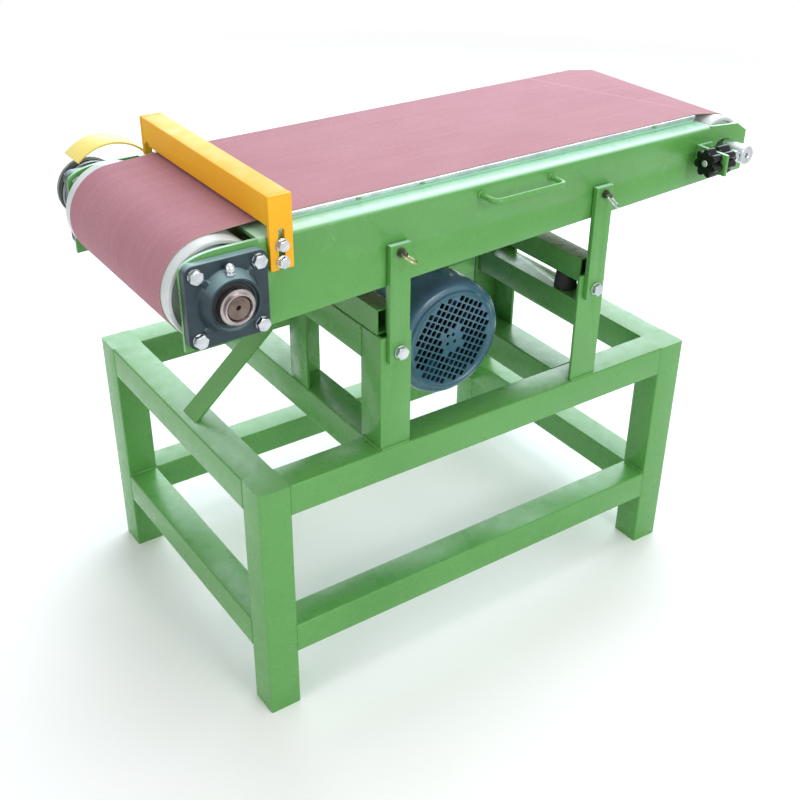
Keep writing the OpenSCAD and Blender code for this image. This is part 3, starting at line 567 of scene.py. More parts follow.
def mirrored(o, name):
    """The same piece on the far side of the machine."""
    middle = Vector((0, row(0, HEAD_MIDDLE, 0).y, 0))
    return placed_copy(o, name, about(middle, Matrix.Diagonal((1, -1, 1, 1))))


def both_sides(name, parts, material, body, slot, *nodes):
    """Joins near pieces into one, mirrors it to the far side and finishes the two."""
    near = joined(name + "_near", parts)
    far = mirrored(near, name + "_far")
    finish(near, material, body, slot, *nodes)
    finish(far, material, body, slot)


def aim(place, direction):
    """Puts a part built along +z at the origin onto a bench point, along a direction."""
    turn = Vector(direction).to_track_quat("Z", "X").to_matrix().to_4x4()
    return Matrix.Translation(row(*place)) @ turn


# ------------ welds


def make_bead(length, radius):
    """One fillet weld along +z: a rod of overlapping drops, about 2.6 mm apart."""
    drops = max(3, round(length / 2.6))
    bpy.ops.mesh.primitive_cylinder_add(vertices=10, radius=radius * MM, depth=length * MM,
                                        location=(0, 0, length * MM / 2), end_fill_type="NGON")
    o = seat(bpy.context.object)
    mesh = edit(o, "EDGE")
    pick_along(mesh, 2, length * MM / 2)
    bpy.ops.mesh.subdivide(number_cuts=drops * 3 - 1)
    mesh = bmesh.from_edit_mesh(o.data)
    for v in mesh.verts:
        t = v.co.z / (length * MM)
        phase = t * drops * math.tau
        angle = math.atan2(v.co.y, v.co.x)
        swell = 0.86 + 0.14 * abs(math.sin(phase / 2 + 0.35 * math.cos(angle)))
        swell *= 0.93 + 0.07 * math.sin(t * 9.1 + radius)
        if t < 0.001 or t > 0.999:
            swell *= 0.55
        v.co.x *= swell
        v.co.y *= swell
    close(o)
    return o


bead_patterns = {}


def bead(a, b, radius):
    """A weld bead between two bench points."""
    span = Vector(b) - Vector(a)
    key = (round(span.length, 1), radius)
    if key not in bead_patterns:
        bead_patterns[key] = make_bead(span.length, radius)
    return placed_copy(bead_patterns[key], "bead", aim(a, span))


# Base frame: 50 mm tubes; the lower ring stands 100 mm off the floor
LENGTH, DEPTH, TOP, TUBE, LOW = 800, 540, 400, 50, 100
POSTS_X = (198, 553)
HANDLE_X, HANDLE_Z = (358, 480), 748
# Radii of a fillet between tubes and of one on a rounded edge
FILLET, THIN = 2.6, 1.5
base_beads, head_beads = [], []


def base_weld(a, b, radius=FILLET):
    base_beads.append(bead(a, b, radius))


def head_weld(a, b, radius):
    head_beads.append(bead(a, b, radius))


def rail_welds(leg, place):
    """Beads round the ends of an upper and a lower rail on one face of a leg.

    leg is where the leg starts along that face; place gives the bench point at a spot along
    the face and a height."""
    for z in (TOP - TUBE, LOW, LOW + TUBE):
        base_weld(place(leg + 3, z), place(leg + TUBE - 3, z))
    for z0 in (LOW, TOP - TUBE):
        for side in (leg + 0.6, leg + TUBE - 0.6):
            base_weld(place(side, z0 + 2), place(side, z0 + TUBE - 2), THIN)


for y0 in (0, DEPTH - TUBE):
    for x in (TUBE, LENGTH - TUBE):
        rail_welds(y0, lambda y, z: (x, y, z))
for x0 in (0, LENGTH - TUBE):
    for y in (TUBE, DEPTH - TUBE):
        rail_welds(x0, lambda x, z: (x, y, z))
# Ends of the cross members
for x0 in POSTS_X:
    for y in (TUBE, DEPTH - TUBE):
        for x in (x0, x0 + TUBE):
            base_weld((x, y, TOP - TUBE + 3), (x, y, TOP - 3), 2.4)
        base_weld((x0 + 2, y, TOP - 0.7), (x0 + TUBE - 2, y, TOP - 0.7), THIN)
# Feet of the posts on the rails and cross members
for x0, side in zip(POSTS_X, (198, 603)):
    base_weld((x0 + 1, 4, TOP), (x0 + 49, 4, TOP))
    base_weld((side, 6, TOP), (side, 52, TOP))
    base_weld((side, 208, TOP), (side, 254, TOP))
    base_weld((x0 + 2, 256, TOP), (x0 + 48, 256, TOP))
# Both ends of the brace
base_weld((198, 218, 554), (198, 254, 554))
base_weld((22, 218, 400.5), (22, 254, 400.5), 2.4)
# Beams on their posts, and the forks behind the inner posts
for x in (198, 248):
    base_weld((x, 54, 531), (x, 54, 575), 2.2)
base_weld((201, 54, 577.5), (245, 54, 577.5), 2.0)
for y in (9.5, 250.5):
    base_weld((560, y, 535), (596, y, 535), 2.2)
for x0 in (191.7, 555.7):
    base_weld((x0 + 2, 256, 502), (x0 + 42, 256, 502), 2.2)
# Head: handle feet, platen packers, stays, brackets and tubes
for x in HANDLE_X:
    bpy.ops.mesh.primitive_torus_add(location=row(x, 4.6, HANDLE_Z), rotation=(math.pi / 2, 0, 0),
                                     major_radius=4.6 * MM, minor_radius=1.9 * MM,
                                     major_segments=24, minor_segments=8)
    head_beads.append(seat(bpy.context.object))
for x in range(100, 780, 96):
    for y in (41.8, 318.2):
        head_weld((x, y, 764.6), (x + 22, y, 764.6), 1.7)
for x0, z in ((214, 616.5), (578, 600)):
    for y in (16, 345):
        head_weld((x0, y, z), (x0 + 13, y, z), 2.0)
for y in (5, 355):
    for z in (709.5, 740.5):
        head_weld((774, y, z), (797, y, z), 1.7)
for x in (180, 279, 700):
    head_weld((x, 33.2, 771), (x + 7, 33.2, 771), THIN)
for body, beads in (("base", base_beads), ("head", head_beads)):
    finish(joined(body + "_weld_beads", beads), green_enamel, body, "green_paint", angle=60)

# ------------ green steelwork

# Square tubes: rounded along their length, sawn square at the ends
for node, axis, body in (("legs", 2, "base"), ("long_top_rails", 0, "base"),
                         ("long_stretchers", 0, "base"), ("end_top_rails", 1, "base"),
                         ("end_stretchers", 1, "base"), ("cross_members", 1, "base"),
                         ("beam_left", 1, "base"), ("beam_right", 1, "base"),
                         ("rail_left", 1, "head"), ("rail_right", 1, "head"),
                         ("head_tubes", 1, "head"), ("cradle_bars", 0, "head")):
    finish(rounded(node, node + "_rolled", 2.6, 4, axis), green_enamel, body, "green_paint", node)
# Rolled angle, flat bar and plate: a small radius on every edge
for node, radius, body in (("post_near_left", 0.9, "base"), ("post_near_right", 0.9, "base"),
                           ("post_inner_left", 0.9, "base"), ("post_inner_right", 0.9, "base"),
                           ("brace", 0.8, "base"), ("hinge_fork_left", 0.6, "base"),
                           ("hinge_fork_right", 0.6, "base"), ("link_left", 0.8, "link_left"),
                           ("link_right", 0.8, "link_right"), ("rail_stays", 0.7, "head"),
                           ("motor_plate", 0.7, "head"), ("platen_packers", 0.4, "head"),
                           ("adjuster_plates", 0.7, "head"), ("wall_near", 0.7, "head"),
                           ("wall_far", 0.7, "head")):
    paint = green_enamel
    # Links, adjuster plates and walls take the enamel with a painted sheen on their upper faces
    if node.startswith(("link", "adjuster", "wall")):
        paint = sheen_painted_enamel
    # The packers are painted pale mint all over, the sheen of the flange tops
    elif node == "platen_packers":
        paint = sheen_painted_packer_enamel
    finish(rounded(node, node + "_edged", radius, 2), paint, body, "green_paint", node)

# Handle: 8 mm round bar bent at both ends
bpy.ops.curve.primitive_bezier_curve_add()
grip = bpy.context.object
grip.name = "bent_handle"
spline = grip.data.splines[0]
spline.bezier_points.add(4)
bend_r, out, z = 10, -26, HANDLE_Z
left_x, right_x = HANDLE_X
# Lengths of the curve's handles: on a straight, and for a quarter circle
straight, curved = 6 * MM, 0.5523 * bend_r * MM
stations = [((left_x, 5, z), None), ((left_x, out + bend_r, z), (0, -1, 0)),
            ((left_x + bend_r, out, z), (1, 0, 0)), ((right_x - bend_r, out, z), (1, 0, 0)),
            ((right_x, out + bend_r, z), (0, 1, 0)), ((right_x, 5, z), None)]
for point, (place, tangent) in zip(spline.bezier_points, stations):
    point.co = row(*place)
    point.handle_left_type = point.handle_right_type = "FREE"
for i, (place, tangent) in enumerate(stations):
    point = spline.bezier_points[i]
    here = row(*place)
    if tangent is None:
        step = Vector((0, -1 if i == 0 else 1, 0)) * straight
        point.handle_left, point.handle_right = here - step, here + step
    else:
        d = Vector(tangent)
        point.handle_left = here - d * (curved if i in (2, 4) else straight)
        point.handle_right = here + d * (curved if i in (1, 3) else straight)
grip.data.dimensions = "3D"
grip.data.resolution_u = 10
grip.data.bevel_depth = 4 * MM
grip.data.bevel_resolution = 6
grip.data.use_fill_caps = True
only(grip)
bpy.ops.object.convert(target="MESH")
grip = bpy.context.object
seat(grip)
tidy_normals(grip)
finish(grip, green_enamel, "head", "green_paint", "handle", angle=50)

# ------------ yellow fence and guard

FENCE_X, FENCE_TOP = (36, 68), 815
# The slots in the legs: their middle, half width and upper end
SLOT_X, SLOT_HALF, SLOT_TOP = 52, 4.4, 769
bar = block("fence_bar", *FENCE_X, 5.0, 355.0, 777, FENCE_TOP, 1.6, 4)
cut(bar, [drill(6, 30, 40, (343, 777), 24, "X")])
legs = []
for y0, y1 in ((-1.3, 4.7), (355.3, 361.3)):
    leg = block("fence_leg", *FENCE_X, y0, y1, 720, FENCE_TOP, 0.8, 3)
    cut(leg, [block("slot", SLOT_X - SLOT_HALF, SLOT_X + SLOT_HALF, y0 - 2, y1 + 2, 700, SLOT_TOP)])
    cut(leg, [drill(SLOT_HALF, y0 - 2, y1 + 2, (SLOT_X, SLOT_TOP), 32)])
    legs.append(leg)
welds = [bead((38, y, 814.2), (66, y, 814.2), 1.3) for y in (4.9, 355.1)]
fence = joined("drilled_fence", [bar] + legs + welds)
for pattern in bead_patterns.values():
    dropped(pattern)
finish(fence, yellow_enamel, "fence", "yellow_paint", "fence")
# The guard gets the paler yellow with the painted sheen
finish(rounded("pulley_guard", "rolled_guard", 0.7, 2), guard_sheen_painted_enamel, "head", "yellow_paint",
       "pulley_guard")

# ------------ belts and rollers

# Axes in bench x and z
DRUM, DRUM_R = (-25.5, 702.8), 66
IDLER, IDLER_R = (832, 725), 43
MOTOR = (403, 467)
PLATEN_TOP = 774
# Between a belt and what turns inside it
GAP = 0.3


def turn_between(a, ra, b, rb, side):
    """Angle at which the tangent line above (1) or below (-1) two circles touches them."""
    dx, dz = b[0] - a[0], b[1] - a[1]
    return math.atan2(dz, dx) + side * math.acos((ra - rb) / math.hypot(dx, dz))


def arc(centre, r, start_angle, stop_angle):
    """Points about 3 degrees apart on a circle."""
    count = max(2, math.ceil(abs(math.degrees(stop_angle - start_angle)) / 3))
    return [(centre[0] + r * math.cos(start_angle + (stop_angle - start_angle) * i / count),
             centre[1] + r * math.sin(start_angle + (stop_angle - start_angle) * i / count))
            for i in range(count + 1)]


def sanding_path(grow):
    """Path of the abrasive belt: drum, lower run, idler, then back over the two platen corners."""
    ra, rb = DRUM_R + GAP + grow, IDLER_R + GAP + grow
    near, far = [(x, PLATEN_TOP + 0.1 + grow) for x in (71, 791)]
    low = turn_between(DRUM, ra, IDLER, rb, -1)
    up = math.atan2(near[1] - DRUM[1], near[0] - DRUM[0])
    up += math.acos(ra / math.hypot(near[0] - DRUM[0], near[1] - DRUM[1]))
    down = math.atan2(far[1] - IDLER[1], far[0] - IDLER[0])
    down -= math.acos(rb / math.hypot(far[0] - IDLER[0], far[1] - IDLER[1]))
    return arc(DRUM, ra, up, low + math.tau) + arc(IDLER, rb, low, down) + [far, near]


def drive_path(grow):
    """Path of the drive belt round the drum pulley and the motor pulley."""
    ra, rb = 36 + GAP + grow, 47 + GAP + grow
    low = turn_between(DRUM, ra, MOTOR, rb, -1)
    high = turn_between(DRUM, ra, MOTOR, rb, 1)
    return arc(DRUM, ra, high, low + math.tau) + arc(MOTOR, rb, low, high)


def ring_of(name, loops):
    """A closed band: each loop is (path in x and z, y), and each is joined to the next."""
    points, faces, count = [], [], len(loops[0][0])
    for path, y in loops:
        points += [row(x, y, z) for x, z in path]
    for k in range(len(loops)):
        a, b = k * count, (k + 1) % len(loops) * count
        faces += [(a + i, a + (i + 1) % count, b + (i + 1) % count, b + i) for i in range(count)]
    o = drawn(name, points, (), faces)
    tidy_normals(o)
    return o


outer, inner = sanding_path(1), sanding_path(0)
belt = ring_of("sanding_belt", [(outer, y) for y in (37.5, 132.5, 227.5, 322.5)]
               + [(inner, y) for y in (322.5, 37.5)])
finish(belt, grit_cloth, "head", "abrasive_cloth", "abrasive_belt")
belt.data.materials.append(belt_back)
within = row(400, HEAD_MIDDLE, 735)
for face in belt.data.polygons:
    # The inner face and the two cut edges show the cloth
    points = [belt.data.vertices[i].co for i in face.vertices]
    edge_on = abs(face.normal.y) > 0.9
    middle = sum(points, Vector()) / len(points)
    if edge_on or face.normal.dot(middle - within) < 0:
        face.material_index = 1

# V-belt: 12 mm wide outside, 7.5 mm inside
outer, inner = drive_path(9), drive_path(0)
vee = ring_of("drive_vee_belt", [(outer, 412), (outer, 424), (inner, 421.7), (inner, 414.3)])
finish(vee, rubber, "head", "rubber", "drive_belt", angle=40)


def roller(name, centre, r, deep, bore, hub, body, node):
    """A turned roller with recessed end webs."""
    y0, y1 = 18, 342
    profile = [(r, y0 + 1.2), (r, y1 - 1.2), (r - 1.2, y1), (r - 5, y1), (r - 5.4, y1 - 0.6),
               (r - 5.6, y1 - deep + 2), (r - 7, y1 - deep), (hub, y1 - deep), (hub, y1 - 1),
               (hub - 1, y1), (bore, y1), (bore, y0), (hub - 1, y0), (hub, y0 + 1),
               (hub, y0 + deep), (r - 7, y0 + deep), (r - 5.6, y0 + deep - 2),
               (r - 5.4, y0 + 0.6), (r - 5, y0), (r - 1.2, y0)]
    o = turned(name, profile, centre, 128)
    finish(o, white_lacquer, body, "drum_metal", node, angle=28)


roller("lacquered_drum", DRUM, DRUM_R, 14, 16.02, 22, "drum", "drum")
roller("lacquered_idler", IDLER, IDLER_R, 4, 14.06, 19, "idler_roller", "idler_roller")

shaft = turned("drum_spindle", [
    (0, -27), (2.6, -27), (2.6, -33), (4, -34.4), (14.2, -34.4), (16, -32.6), (16, 438.6),
    (14.6, 440), (0, 440)], DRUM, 96)
finish(shaft, turned_steel, "drum", "machined_steel", "drum_shaft")
axle = turned("idler_axle", [
    (0, -33), (3.2, -33), (3.2, -38.4), (5, -40), (12.6, -40), (14, -38.6), (14, 398.6),
    (12.6, 400), (0, 400)], IDLER, 96)
finish(axle, zinc_plate, "idler_carriage", "zinc", "idler_shaft")

# Bearing inserts: outer race, dark seal and locking collar with a grub screw
race = turned("insert_race", [(26.95, -19.9), (26.95, 0), (16.05, 0), (16.05, -19.9)], DRUM, 96)
collar = turned("insert_collar", [
    (16.02, -35.4), (17, -37), (18.3, -37), (18.8, -36.5), (18.8, -33.4), (21.5, -33.4),
    (23, -31.9), (23, -24.5), (22.2, -23.5), (22.2, -21), (16.02, -21)], DRUM, 96)
cut(collar, [drill(2.4, 716, 728, (DRUM[0], -29), 24, "Z")])
both_sides("bearing_insert", [race, collar], ring_steel, "drum", "machined_steel",
           "bearing_inserts")
seal = turned("insert_seal", [(22.1, -21.2), (24.5, -21.4), (26.9, -20.6), (26.9, -19.95),
                              (22.1, -19.95)], DRUM, 64)
both_sides("insert_seal", [seal], rubber, "drum", "rubber")

# ------------ castings, bolts and pins

# Flanged bearing housings: the sand casting has soft edges all round
for node in ("bearing_near", "bearing_far"):
    o = merged_copy(node, "cast_" + node)
    modify(o, "REMESH", mode="VOXEL", voxel_size=0.0009)
    modify(o, "SMOOTH", factor=0.5, iterations=3)
    finish(o, cast_paint, "head", "cast_paint", node, angle=50)

bolt_patterns = {}


def hexagon(width, height, low, chamfer_low=False):
    """A hexagon prism from z = low, chamfered at its outer end and, for a nut, at both."""
    corner = width / math.sqrt(3)
    bpy.ops.mesh.primitive_cylinder_add(vertices=6, radius=corner * MM, depth=height * MM,
                                        location=(0, 0, (low + height / 2) * MM))
    o = seat(bpy.context.object)
    drop = (corner - width * 0.48) * 0.5
    profile = [(0, low + height), (width * 0.48, low + height),
               (corner * 1.01, low + height - drop)]
    if chamfer_low:
        profile += [(corner * 1.01, low + drop), (width * 0.48, low), (0, low)]
    else:
        profile += [(corner * 1.01, low), (0, low)]
    return cut(o, [turned("chamfer", profile, ORIGIN, 48, "Z")], "INTERSECT")


def screw_profile(r, low, high, pitch, hole=0):
    """Thread from low to high, one ridge to each pitch, with a centre hole at low."""
    points = [(0, low + 3), (hole, low + 3), (hole + 0.3, low)] if hole else [(0, low)]
    points, z = points + [(r - 0.9, low)], low
    while z + pitch <= high:
        points += [(r - 0.55 * pitch, z + 0.2 * pitch), (r, z + 0.6 * pitch)]
        z += pitch
    return points + [(r - 0.9, high), (0, high)]


def bolt(width, head, washer, washer_r, r, length):
    """Hex bolt with a washer that seats at z = 0, head along +z, and its thread below."""
    key = ("bolt", width, head, washer, washer_r, r, length)
    if key not in bolt_patterns:
        parts = [hexagon(width, head, washer)]
        if washer:
            parts.append(turned("washer", washer_profile(r, washer_r, 0, washer, 0.3), ORIGIN,
                                48, "Z"))
        parts.append(turned("shank", screw_profile(r, -length, washer, 1.5), ORIGIN, 32, "Z"))
        bolt_patterns[key] = joined("bolt_pattern", parts)
    return bolt_patterns[key]


def nut(width, height, r):
    key = ("nut", width, height, r)
    if key not in bolt_patterns:
        bolt_patterns[key] = cut(hexagon(width, height, 0, True),
                                 [drill(r, -1, height + 1, ORIGIN, 32, "Z")])
    return bolt_patterns[key]


def fastener(pattern, place, direction, turn):
    m = aim(place, direction) @ Matrix.Rotation(math.radians(turn), 4, "Z")
    return placed_copy(pattern, "fastener", m)


NEAR, UP, DOWN, FAR = (0, -1, 0), (0, 0, 1), (0, 0, -1), (0, 1, 0)
corners = [(DRUM[0] + i * 41.5, DRUM[1] + k * 41.5) for i in (-1, 1) for k in (-1, 1)]
parts = [fastener(bolt(16, 6.5, 2, 9, 5, 22), (x, -8, z), NEAR, 11 + 17 * n)
         for n, (x, z) in enumerate(corners)]
parts += [fastener(nut(15, 5.5, 4.9), (x, 10, z), FAR, 30) for x, z in corners]
both_sides("bearing_hex_bolts", parts, zinc_plate, "head", "zinc", "bearing_bolts")

parts = [fastener(bolt(13, 6, 1.5, 8.5, 4, 16), (SLOT_X, -1.36, z), NEAR, turn)
         for z, turn in ((752.5, 8), (730.5, 23))]
both_sides("fence_hex_bolts", parts, zinc_plate, "head", "zinc", "fence_bolts")

# Middle of each link's foot, and how far its bolt's head is turned
feet = ((224, 4), (579, 19))
parts = [fastener(bolt(17, 6.4, 1.6, 10, 5, 25), (x, -4.6, 556), NEAR, turn) for x, turn in feet]
parts += [fastener(nut(17, 6.5, 4.9), (x, 9, 556), FAR, 30) for x, turn in feet]
finish(joined("link_hex_bolts", parts), zinc_plate, "base", "zinc", "link_bolts")

parts = [fastener(bolt(13, 6, 0, 0, 4, 24), (x, y, 559), UP, 9 * i)
         for i, (x, y) in enumerate((x, y) for x in (333, 473) for y in (224, 324))]
finish(joined("motor_hex_bolts", parts), zinc_plate, "head", "zinc", "motor_bolts")

BUFFER = (578, 60)
parts = [fastener(bolt(13, 5.5, 0, 0, 4, 26), (*BUFFER, 552), UP, 12),
         fastener(nut(13, 6.5, 3.6), (*BUFFER, 532.5), DOWN, 40)]
finish(joined("buffer_hex_bolt", parts), zinc_plate, "base", "zinc", "buffer_bolt")
buffer = turned("turned_buffer", [
    (4, 535), (17.2, 535), (18, 536), (15.8, 560.4), (14.4, 562), (9.6, 562), (9, 561.2),
    (9, 552), (4, 552)], BUFFER, 64, "Z")
finish(buffer, rubber, "base", "rubber", "rubber_buffer")

# Grease nipple: small hexagon foot and round head
NIPPLE = (DRUM[0], -17)
nipple = turned("nipple", [
    (0, 738.5), (3.6, 738.5), (3.6, 741), (5, 742.6), (6, 745), (6.2, 747.2), (5.8, 749.4),
    (4.7, 751.3), (2.9, 752.6), (0, 753.1)], NIPPLE, 32, "Z")
foot = placed_copy(nut(11, 2.6, 2), "nipple_hex", aim((*NIPPLE, 739.8), UP))
both_sides("grease_nipple", [nipple, foot], zinc_plate, "head", "zinc", "grease_nipples")

# Lock pins and their split rings of two turns of wire
RING_Y, RING_R, WIRE_R, AROUND = -13, 12, 0.68, 48
for x, z, side, material, turn, hang in ((223, 702, "left", brassy_zinc, 30, 8),
                                         (578, 706, "right", zinc_plate, 37, 25)):
    pin = turned("lock_pin_" + side, [
        (0, -17), (2.4, -17), (3.6, -15.6), (4.1, -12.5), (5, -8.4), (5, -6.2), (6.1, -6.2),
        (6.4, -5.9), (6.4, -4.9), (6.1, -4.6), (5, -4.6), (5, 13.5), (3.5, 15), (0, 15)],
                 (x, z), 48)
    hole = row(x, RING_Y, z)
    bpy.ops.mesh.primitive_cylinder_add(vertices=32, radius=1.9 * MM, depth=20 * MM, location=hole,
                                        rotation=(0, math.radians(turn + 90), 0))
    cut(pin, [seat(bpy.context.object)])
    finish(pin, dark_steel, "pin_" + side, "machined_steel", "pin_" + side)
    turns = bpy.data.curves.new("split_ring_" + side, "CURVE")
    turns.dimensions = "3D"
    wire = turns.splines.new("POLY")
    steps = 2 * AROUND + 2
    wire.points.add(steps)
    for i in range(steps + 1):
        t = i / AROUND * math.tau
        rise = 0.7 * math.tanh((i / AROUND - 1) * 5)
        wire.points[i].co = (RING_R * MM * math.cos(t), RING_R * MM * math.sin(t), rise * MM, 1)
    turns.bevel_depth = WIRE_R * MM
    turns.bevel_resolution = 4
    turns.use_fill_caps = True
    only(linked("split_ring_" + side, turns))
    bpy.ops.object.convert(target="MESH")
    o = bpy.context.object
    o.data.transform(Matrix.Translation(hole) @ Matrix.Rotation(math.radians(turn), 4, "Y")
                     @ Matrix.Rotation(math.radians(hang), 4, "X")
                     @ Matrix.Translation((0, -RING_R * MM, 0)))
    tidy_normals(o)
    finish(o, material, "ring_" + side, "zinc", "ring_" + side, angle=60)

# Hinge pins of the head in their forks, with washers
HINGE = (275, 572)
parts = []
for x0 in (199, 563):
    a, b = x0 - 11.3, x0 + 41.3
    parts.append(turned("hinge_pin", [(0, a), (5, a), (6, a + 1), (6, b - 1), (5, b), (0, b)],
                        HINGE, 48, "X"))
    for low, high in ((x0 - 10.6, x0 - 6.6), (x0 + 36.6, x0 + 39.6)):
        parts.append(turned("hinge_washer", washer_profile(6, 9.5, low, high, 0.4), HINGE, 48,
                            "X"))
finish(joined("turned_hinge_pins", parts), zinc_plate, "head", "zinc", "hinge_pins")

# ------------ belt adjusters

RODS_Y, ROD_Z = {"near": -30, "far": 390}, 725
# Where a rod's two knobs start, and their lengths
KNOBS = ((749.7, 18), (773.3, 24))
# A knob's radius between its lobes, and how far they stand out
LOBES, WAIST, REACH = 7, 16.4, 5.6


def star_knob(x0, y, long):
    """Moulded star knob along x: seven lobes, rounded rims, dished faces and a bore."""
    count, rim = LOBES * 18, 3.4
    turns = [i * math.pi / 12 for i in range(7)]
    stations = [(rim * (1 - math.cos(a)), rim * (1 - math.sin(a))) for a in turns]
    stations += [(long - along, inset) for along, inset in reversed(stations)]
    points = []
    for along, inset in stations:
        for i in range(count):
            t = math.tau * i / count
            r = WAIST + REACH * (0.5 + 0.5 * math.cos(LOBES * t)) ** 0.55 - inset
            points.append(row(x0 + along, y + r * math.sin(t), ROD_Z + r * math.cos(t)))
    rings = [range(k * count, (k + 1) * count) for k in range(len(stations))]
    faces = [rings[0], rings[-1]]
    for a, b in zip(rings, rings[1:]):
        faces += [(a[i], a[(i + 1) % count], b[(i + 1) % count], b[i]) for i in range(count)]
    o = drawn("star", points, (), faces)
    tidy_normals(o)
    for end in (x0, x0 + long):
        cut(o, [drill(10.5, end - 1, end + 1, (y, ROD_Z), 48, "X")])
    return cut(o, [drill(5.1, x0 - 2, x0 + long + 2, (y, ROD_Z), 48, "X")])


for side, y in RODS_Y.items():
    stars = joined("star_knobs_" + side, [star_knob(x0, y, long) for x0, long in KNOBS])
    finish(stars, phenolic, "knobs_" + side, "black_plastic", "knobs_" + side)
rods = []
for y in RODS_Y.values():
    rods.append(turned("rod", screw_profile(5, 749.2, 834, 1.5, 2.5), (y, ROD_Z), 40, "X"))
    rods.append(placed_copy(nut(17, 8, 4.9), "lock_nut", aim((808, y, ROD_Z), (1, 0, 0))))
finish(joined("threaded_tension_rods", rods), zinc_plate, "idler_carriage", "zinc",
       "tension_rods")

# ------------ drive


def grooved(name, centre, r, bore, body, *nodes):
    """Cast pulley with one V groove and dished faces."""
    middle, cheek, b = 418, -15, r - 9.4
    half = [(bore, cheek), (bore + 9, cheek), (bore + 10, cheek + 1), (bore + 11, cheek + 4),
            (b - 9, cheek + 4), (b - 6, cheek), (r - 1, cheek), (r, cheek + 1), (r, -9),
            (r - 0.6, -8.6), (b, -6.3)]
    profile = half + [(c, -t) for c, t in reversed(half)]
    o = turned(name, [(c, middle + t) for c, t in profile], centre, 96)
    finish(o, pulley_iron, body, "machined_steel", *nodes)


grooved("drum_groove_pulley", DRUM, 45, 16.03, "drum", "drum_pulley")
grooved("motor_groove_pulley", MOTOR, 56, 12.03, "motor_rotor")
core = turned("motor_spindle", [
    (0, 122), (11, 122), (12, 123), (12, 200), (50, 200), (50, 334), (12, 334), (12, 431),
    (11, 432), (0, 432)], MOTOR, 64)
finish(core, turned_steel, "motor_rotor", "machined_steel", "motor_rotor")
BLADES = 8
parts = [turned("fan_hub", [(12, 126), (18, 126), (19, 127), (19, 155), (18, 156), (12, 156)],
                MOTOR, 48)]
for n in range(BLADES):
    blade = block("blade", MOTOR[0] + 17, MOTOR[0] + 66, 126, 152, MOTOR[1] - 1.2, MOTOR[1] + 1.2,
                  0.5, 2)
    turn = Matrix.Rotation(n * math.tau / BLADES, 4, "Y")
    blade.data.transform(about(row(MOTOR[0], 0, MOTOR[1]), turn))
    parts.append(blade)
finish(joined("cooling_fan", parts), phenolic, "motor_rotor", "machined_steel")

# Fan cowl: pressed cup with a bead round a slanting grid of rounded holes
cowl = turned("fan_cowl", [
    (0, 114), (72.6, 114), (74.4, 113.2), (76, 112), (77.5, 111.6), (79, 112.1), (80.6, 114),
    (81.8, 115.6), (83.4, 116.3), (86.4, 117), (89.8, 119.2), (92.4, 123), (94, 128.5),
    (94.5, 136), (94.5, 180), (92, 180), (92, 136), (91.4, 129.5), (90, 125), (87.6, 121.6),
    (84.6, 119.7), (81, 118.6), (79, 117.2), (77.5, 115.2), (76, 115.6), (74.4, 116.3),
    (0, 116.5)], MOTOR, 128)
# One hole is 7.9 by 8.7 mm
peg = block("peg", BENCH_X - 3.95, BENCH_X + 3.95, BENCH_Y - 5, BENCH_Y + 5, -4.35, 4.35)
mesh = edit(peg, "EDGE")
pick_along(mesh, 1, 5 * MM)
bmesh.update_edit_mesh(peg.data)
bpy.ops.mesh.bevel(offset=1.9 * MM, segments=3, profile=0.5)
close(peg)
slant = math.radians(-31)
grid = [(i * 10.2, k * 11) for i in range(-8, 9) for k in range(-7, 8)]
spots = [spot for spot in grid if 23 < math.hypot(*spot) < 69.5]
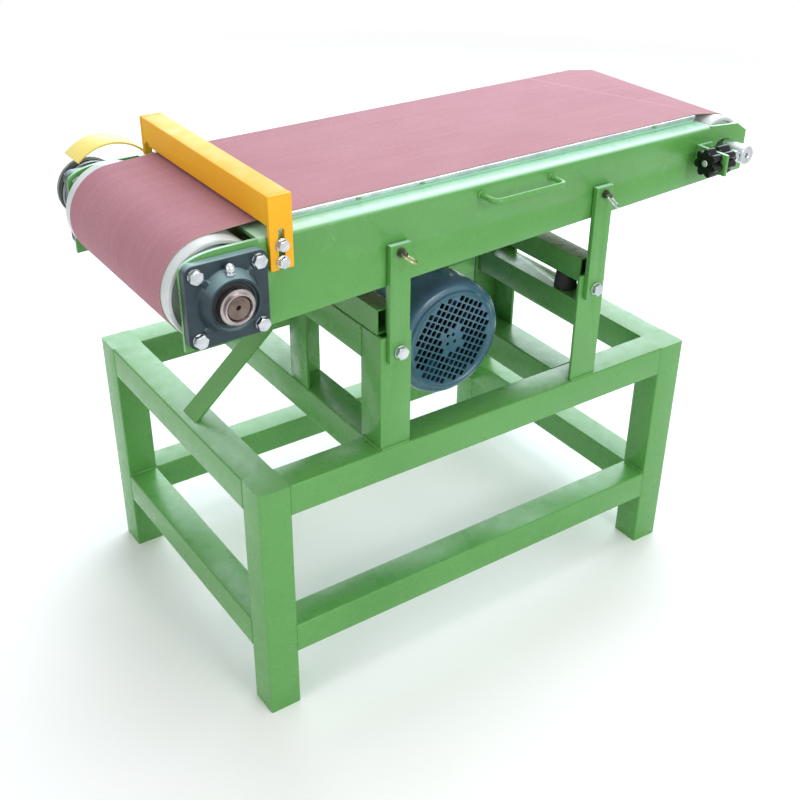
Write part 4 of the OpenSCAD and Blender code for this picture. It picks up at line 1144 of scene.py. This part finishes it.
# Four odd holes in the solid middle
spots += [(-12, 4), (-3, 9), (6, 0), (-5, -8)]
pegs = []
for a, b in spots:
    x = MOTOR[0] + a * math.cos(slant) - b * math.sin(slant)
    z = MOTOR[1] + a * math.sin(slant) + b * math.cos(slant)
    size = 1 if math.hypot(a, b) > 20 else 0.65
    pegs.append(placed_copy(peg, "peg", Matrix.Translation(row(x, 115, z))
                            @ Matrix.Rotation(-slant, 4, "Y")
                            @ Matrix.Diagonal((size, 1, size, 1))))
dropped(peg)
cut(cowl, pegs)
finish(cowl, motor_enamel, "head", "motor_paint", "motor_cowl", angle=28)
for node, name, radius, segments in (("motor_frame", "finned_motor_frame", 0.5, 2),
                                     ("motor_box", "terminal_box", 1.6, 3)):
    finish(rounded(node, name, radius, segments), motor_enamel, "head", "motor_paint", node)

strip = block("platen_strip", 72, 790, 34, 326, 768, PLATEN_TOP, 0.8, 3)
finish(strip, ground_steel, "head", "cast_iron_bare", "platen")

for pattern in bolt_patterns.values():
    dropped(pattern)

# ------------ floor and light


def pale(name, colour):
    """Matt paper that takes shadows; far from the machine it fades into the white background."""
    m, tree, shader, place = start(name, 0.9)
    shader.inputs["Base Color"].default_value = srgb(colour)
    away = add(tree, "VectorMath", {"operation": "LENGTH"}, i0=place).outputs["Value"]
    clear = add(tree, "BsdfTransparent").outputs[0]
    faded = add(tree, "MixShader", None, i0=ramp(tree, away, 1.3, 3.8),
                i1=shader.outputs[0], i2=clear)
    tree.links.new(faded.outputs[0], tree.nodes["Material Output"].inputs["Surface"])
    return m


bpy.ops.mesh.primitive_plane_add(size=30, location=(0, 0, 0))
floor = bpy.context.object
floor.name = "pale_floor"
floor.data.materials.append(pale("white_paper_sweep", "f7f7f7"))

world = bpy.data.worlds.new("studio")
bpy.context.scene.world = world
world.use_nodes = True
tree = world.node_tree
tree.nodes.clear()
# The background is white to the eye and to mirrors, and dimmer as a lamp
seen = add(tree, "LightPath").outputs
both = maths(tree, "MAXIMUM", seen["Is Camera Ray"], seen["Is Glossy Ray"])
all_three = maths(tree, "MAXIMUM", both, seen["Is Transmission Ray"])
dim, white = [add(tree, "Background", None, Color=srgb("ffffff"),
                  Strength=strength).outputs[0] for strength in (0.55, 1.0)]
mixed = add(tree, "MixShader", None, i0=all_three, i1=dim, i2=white)
add(tree, "OutputWorld", None, Surface=mixed.outputs[0])
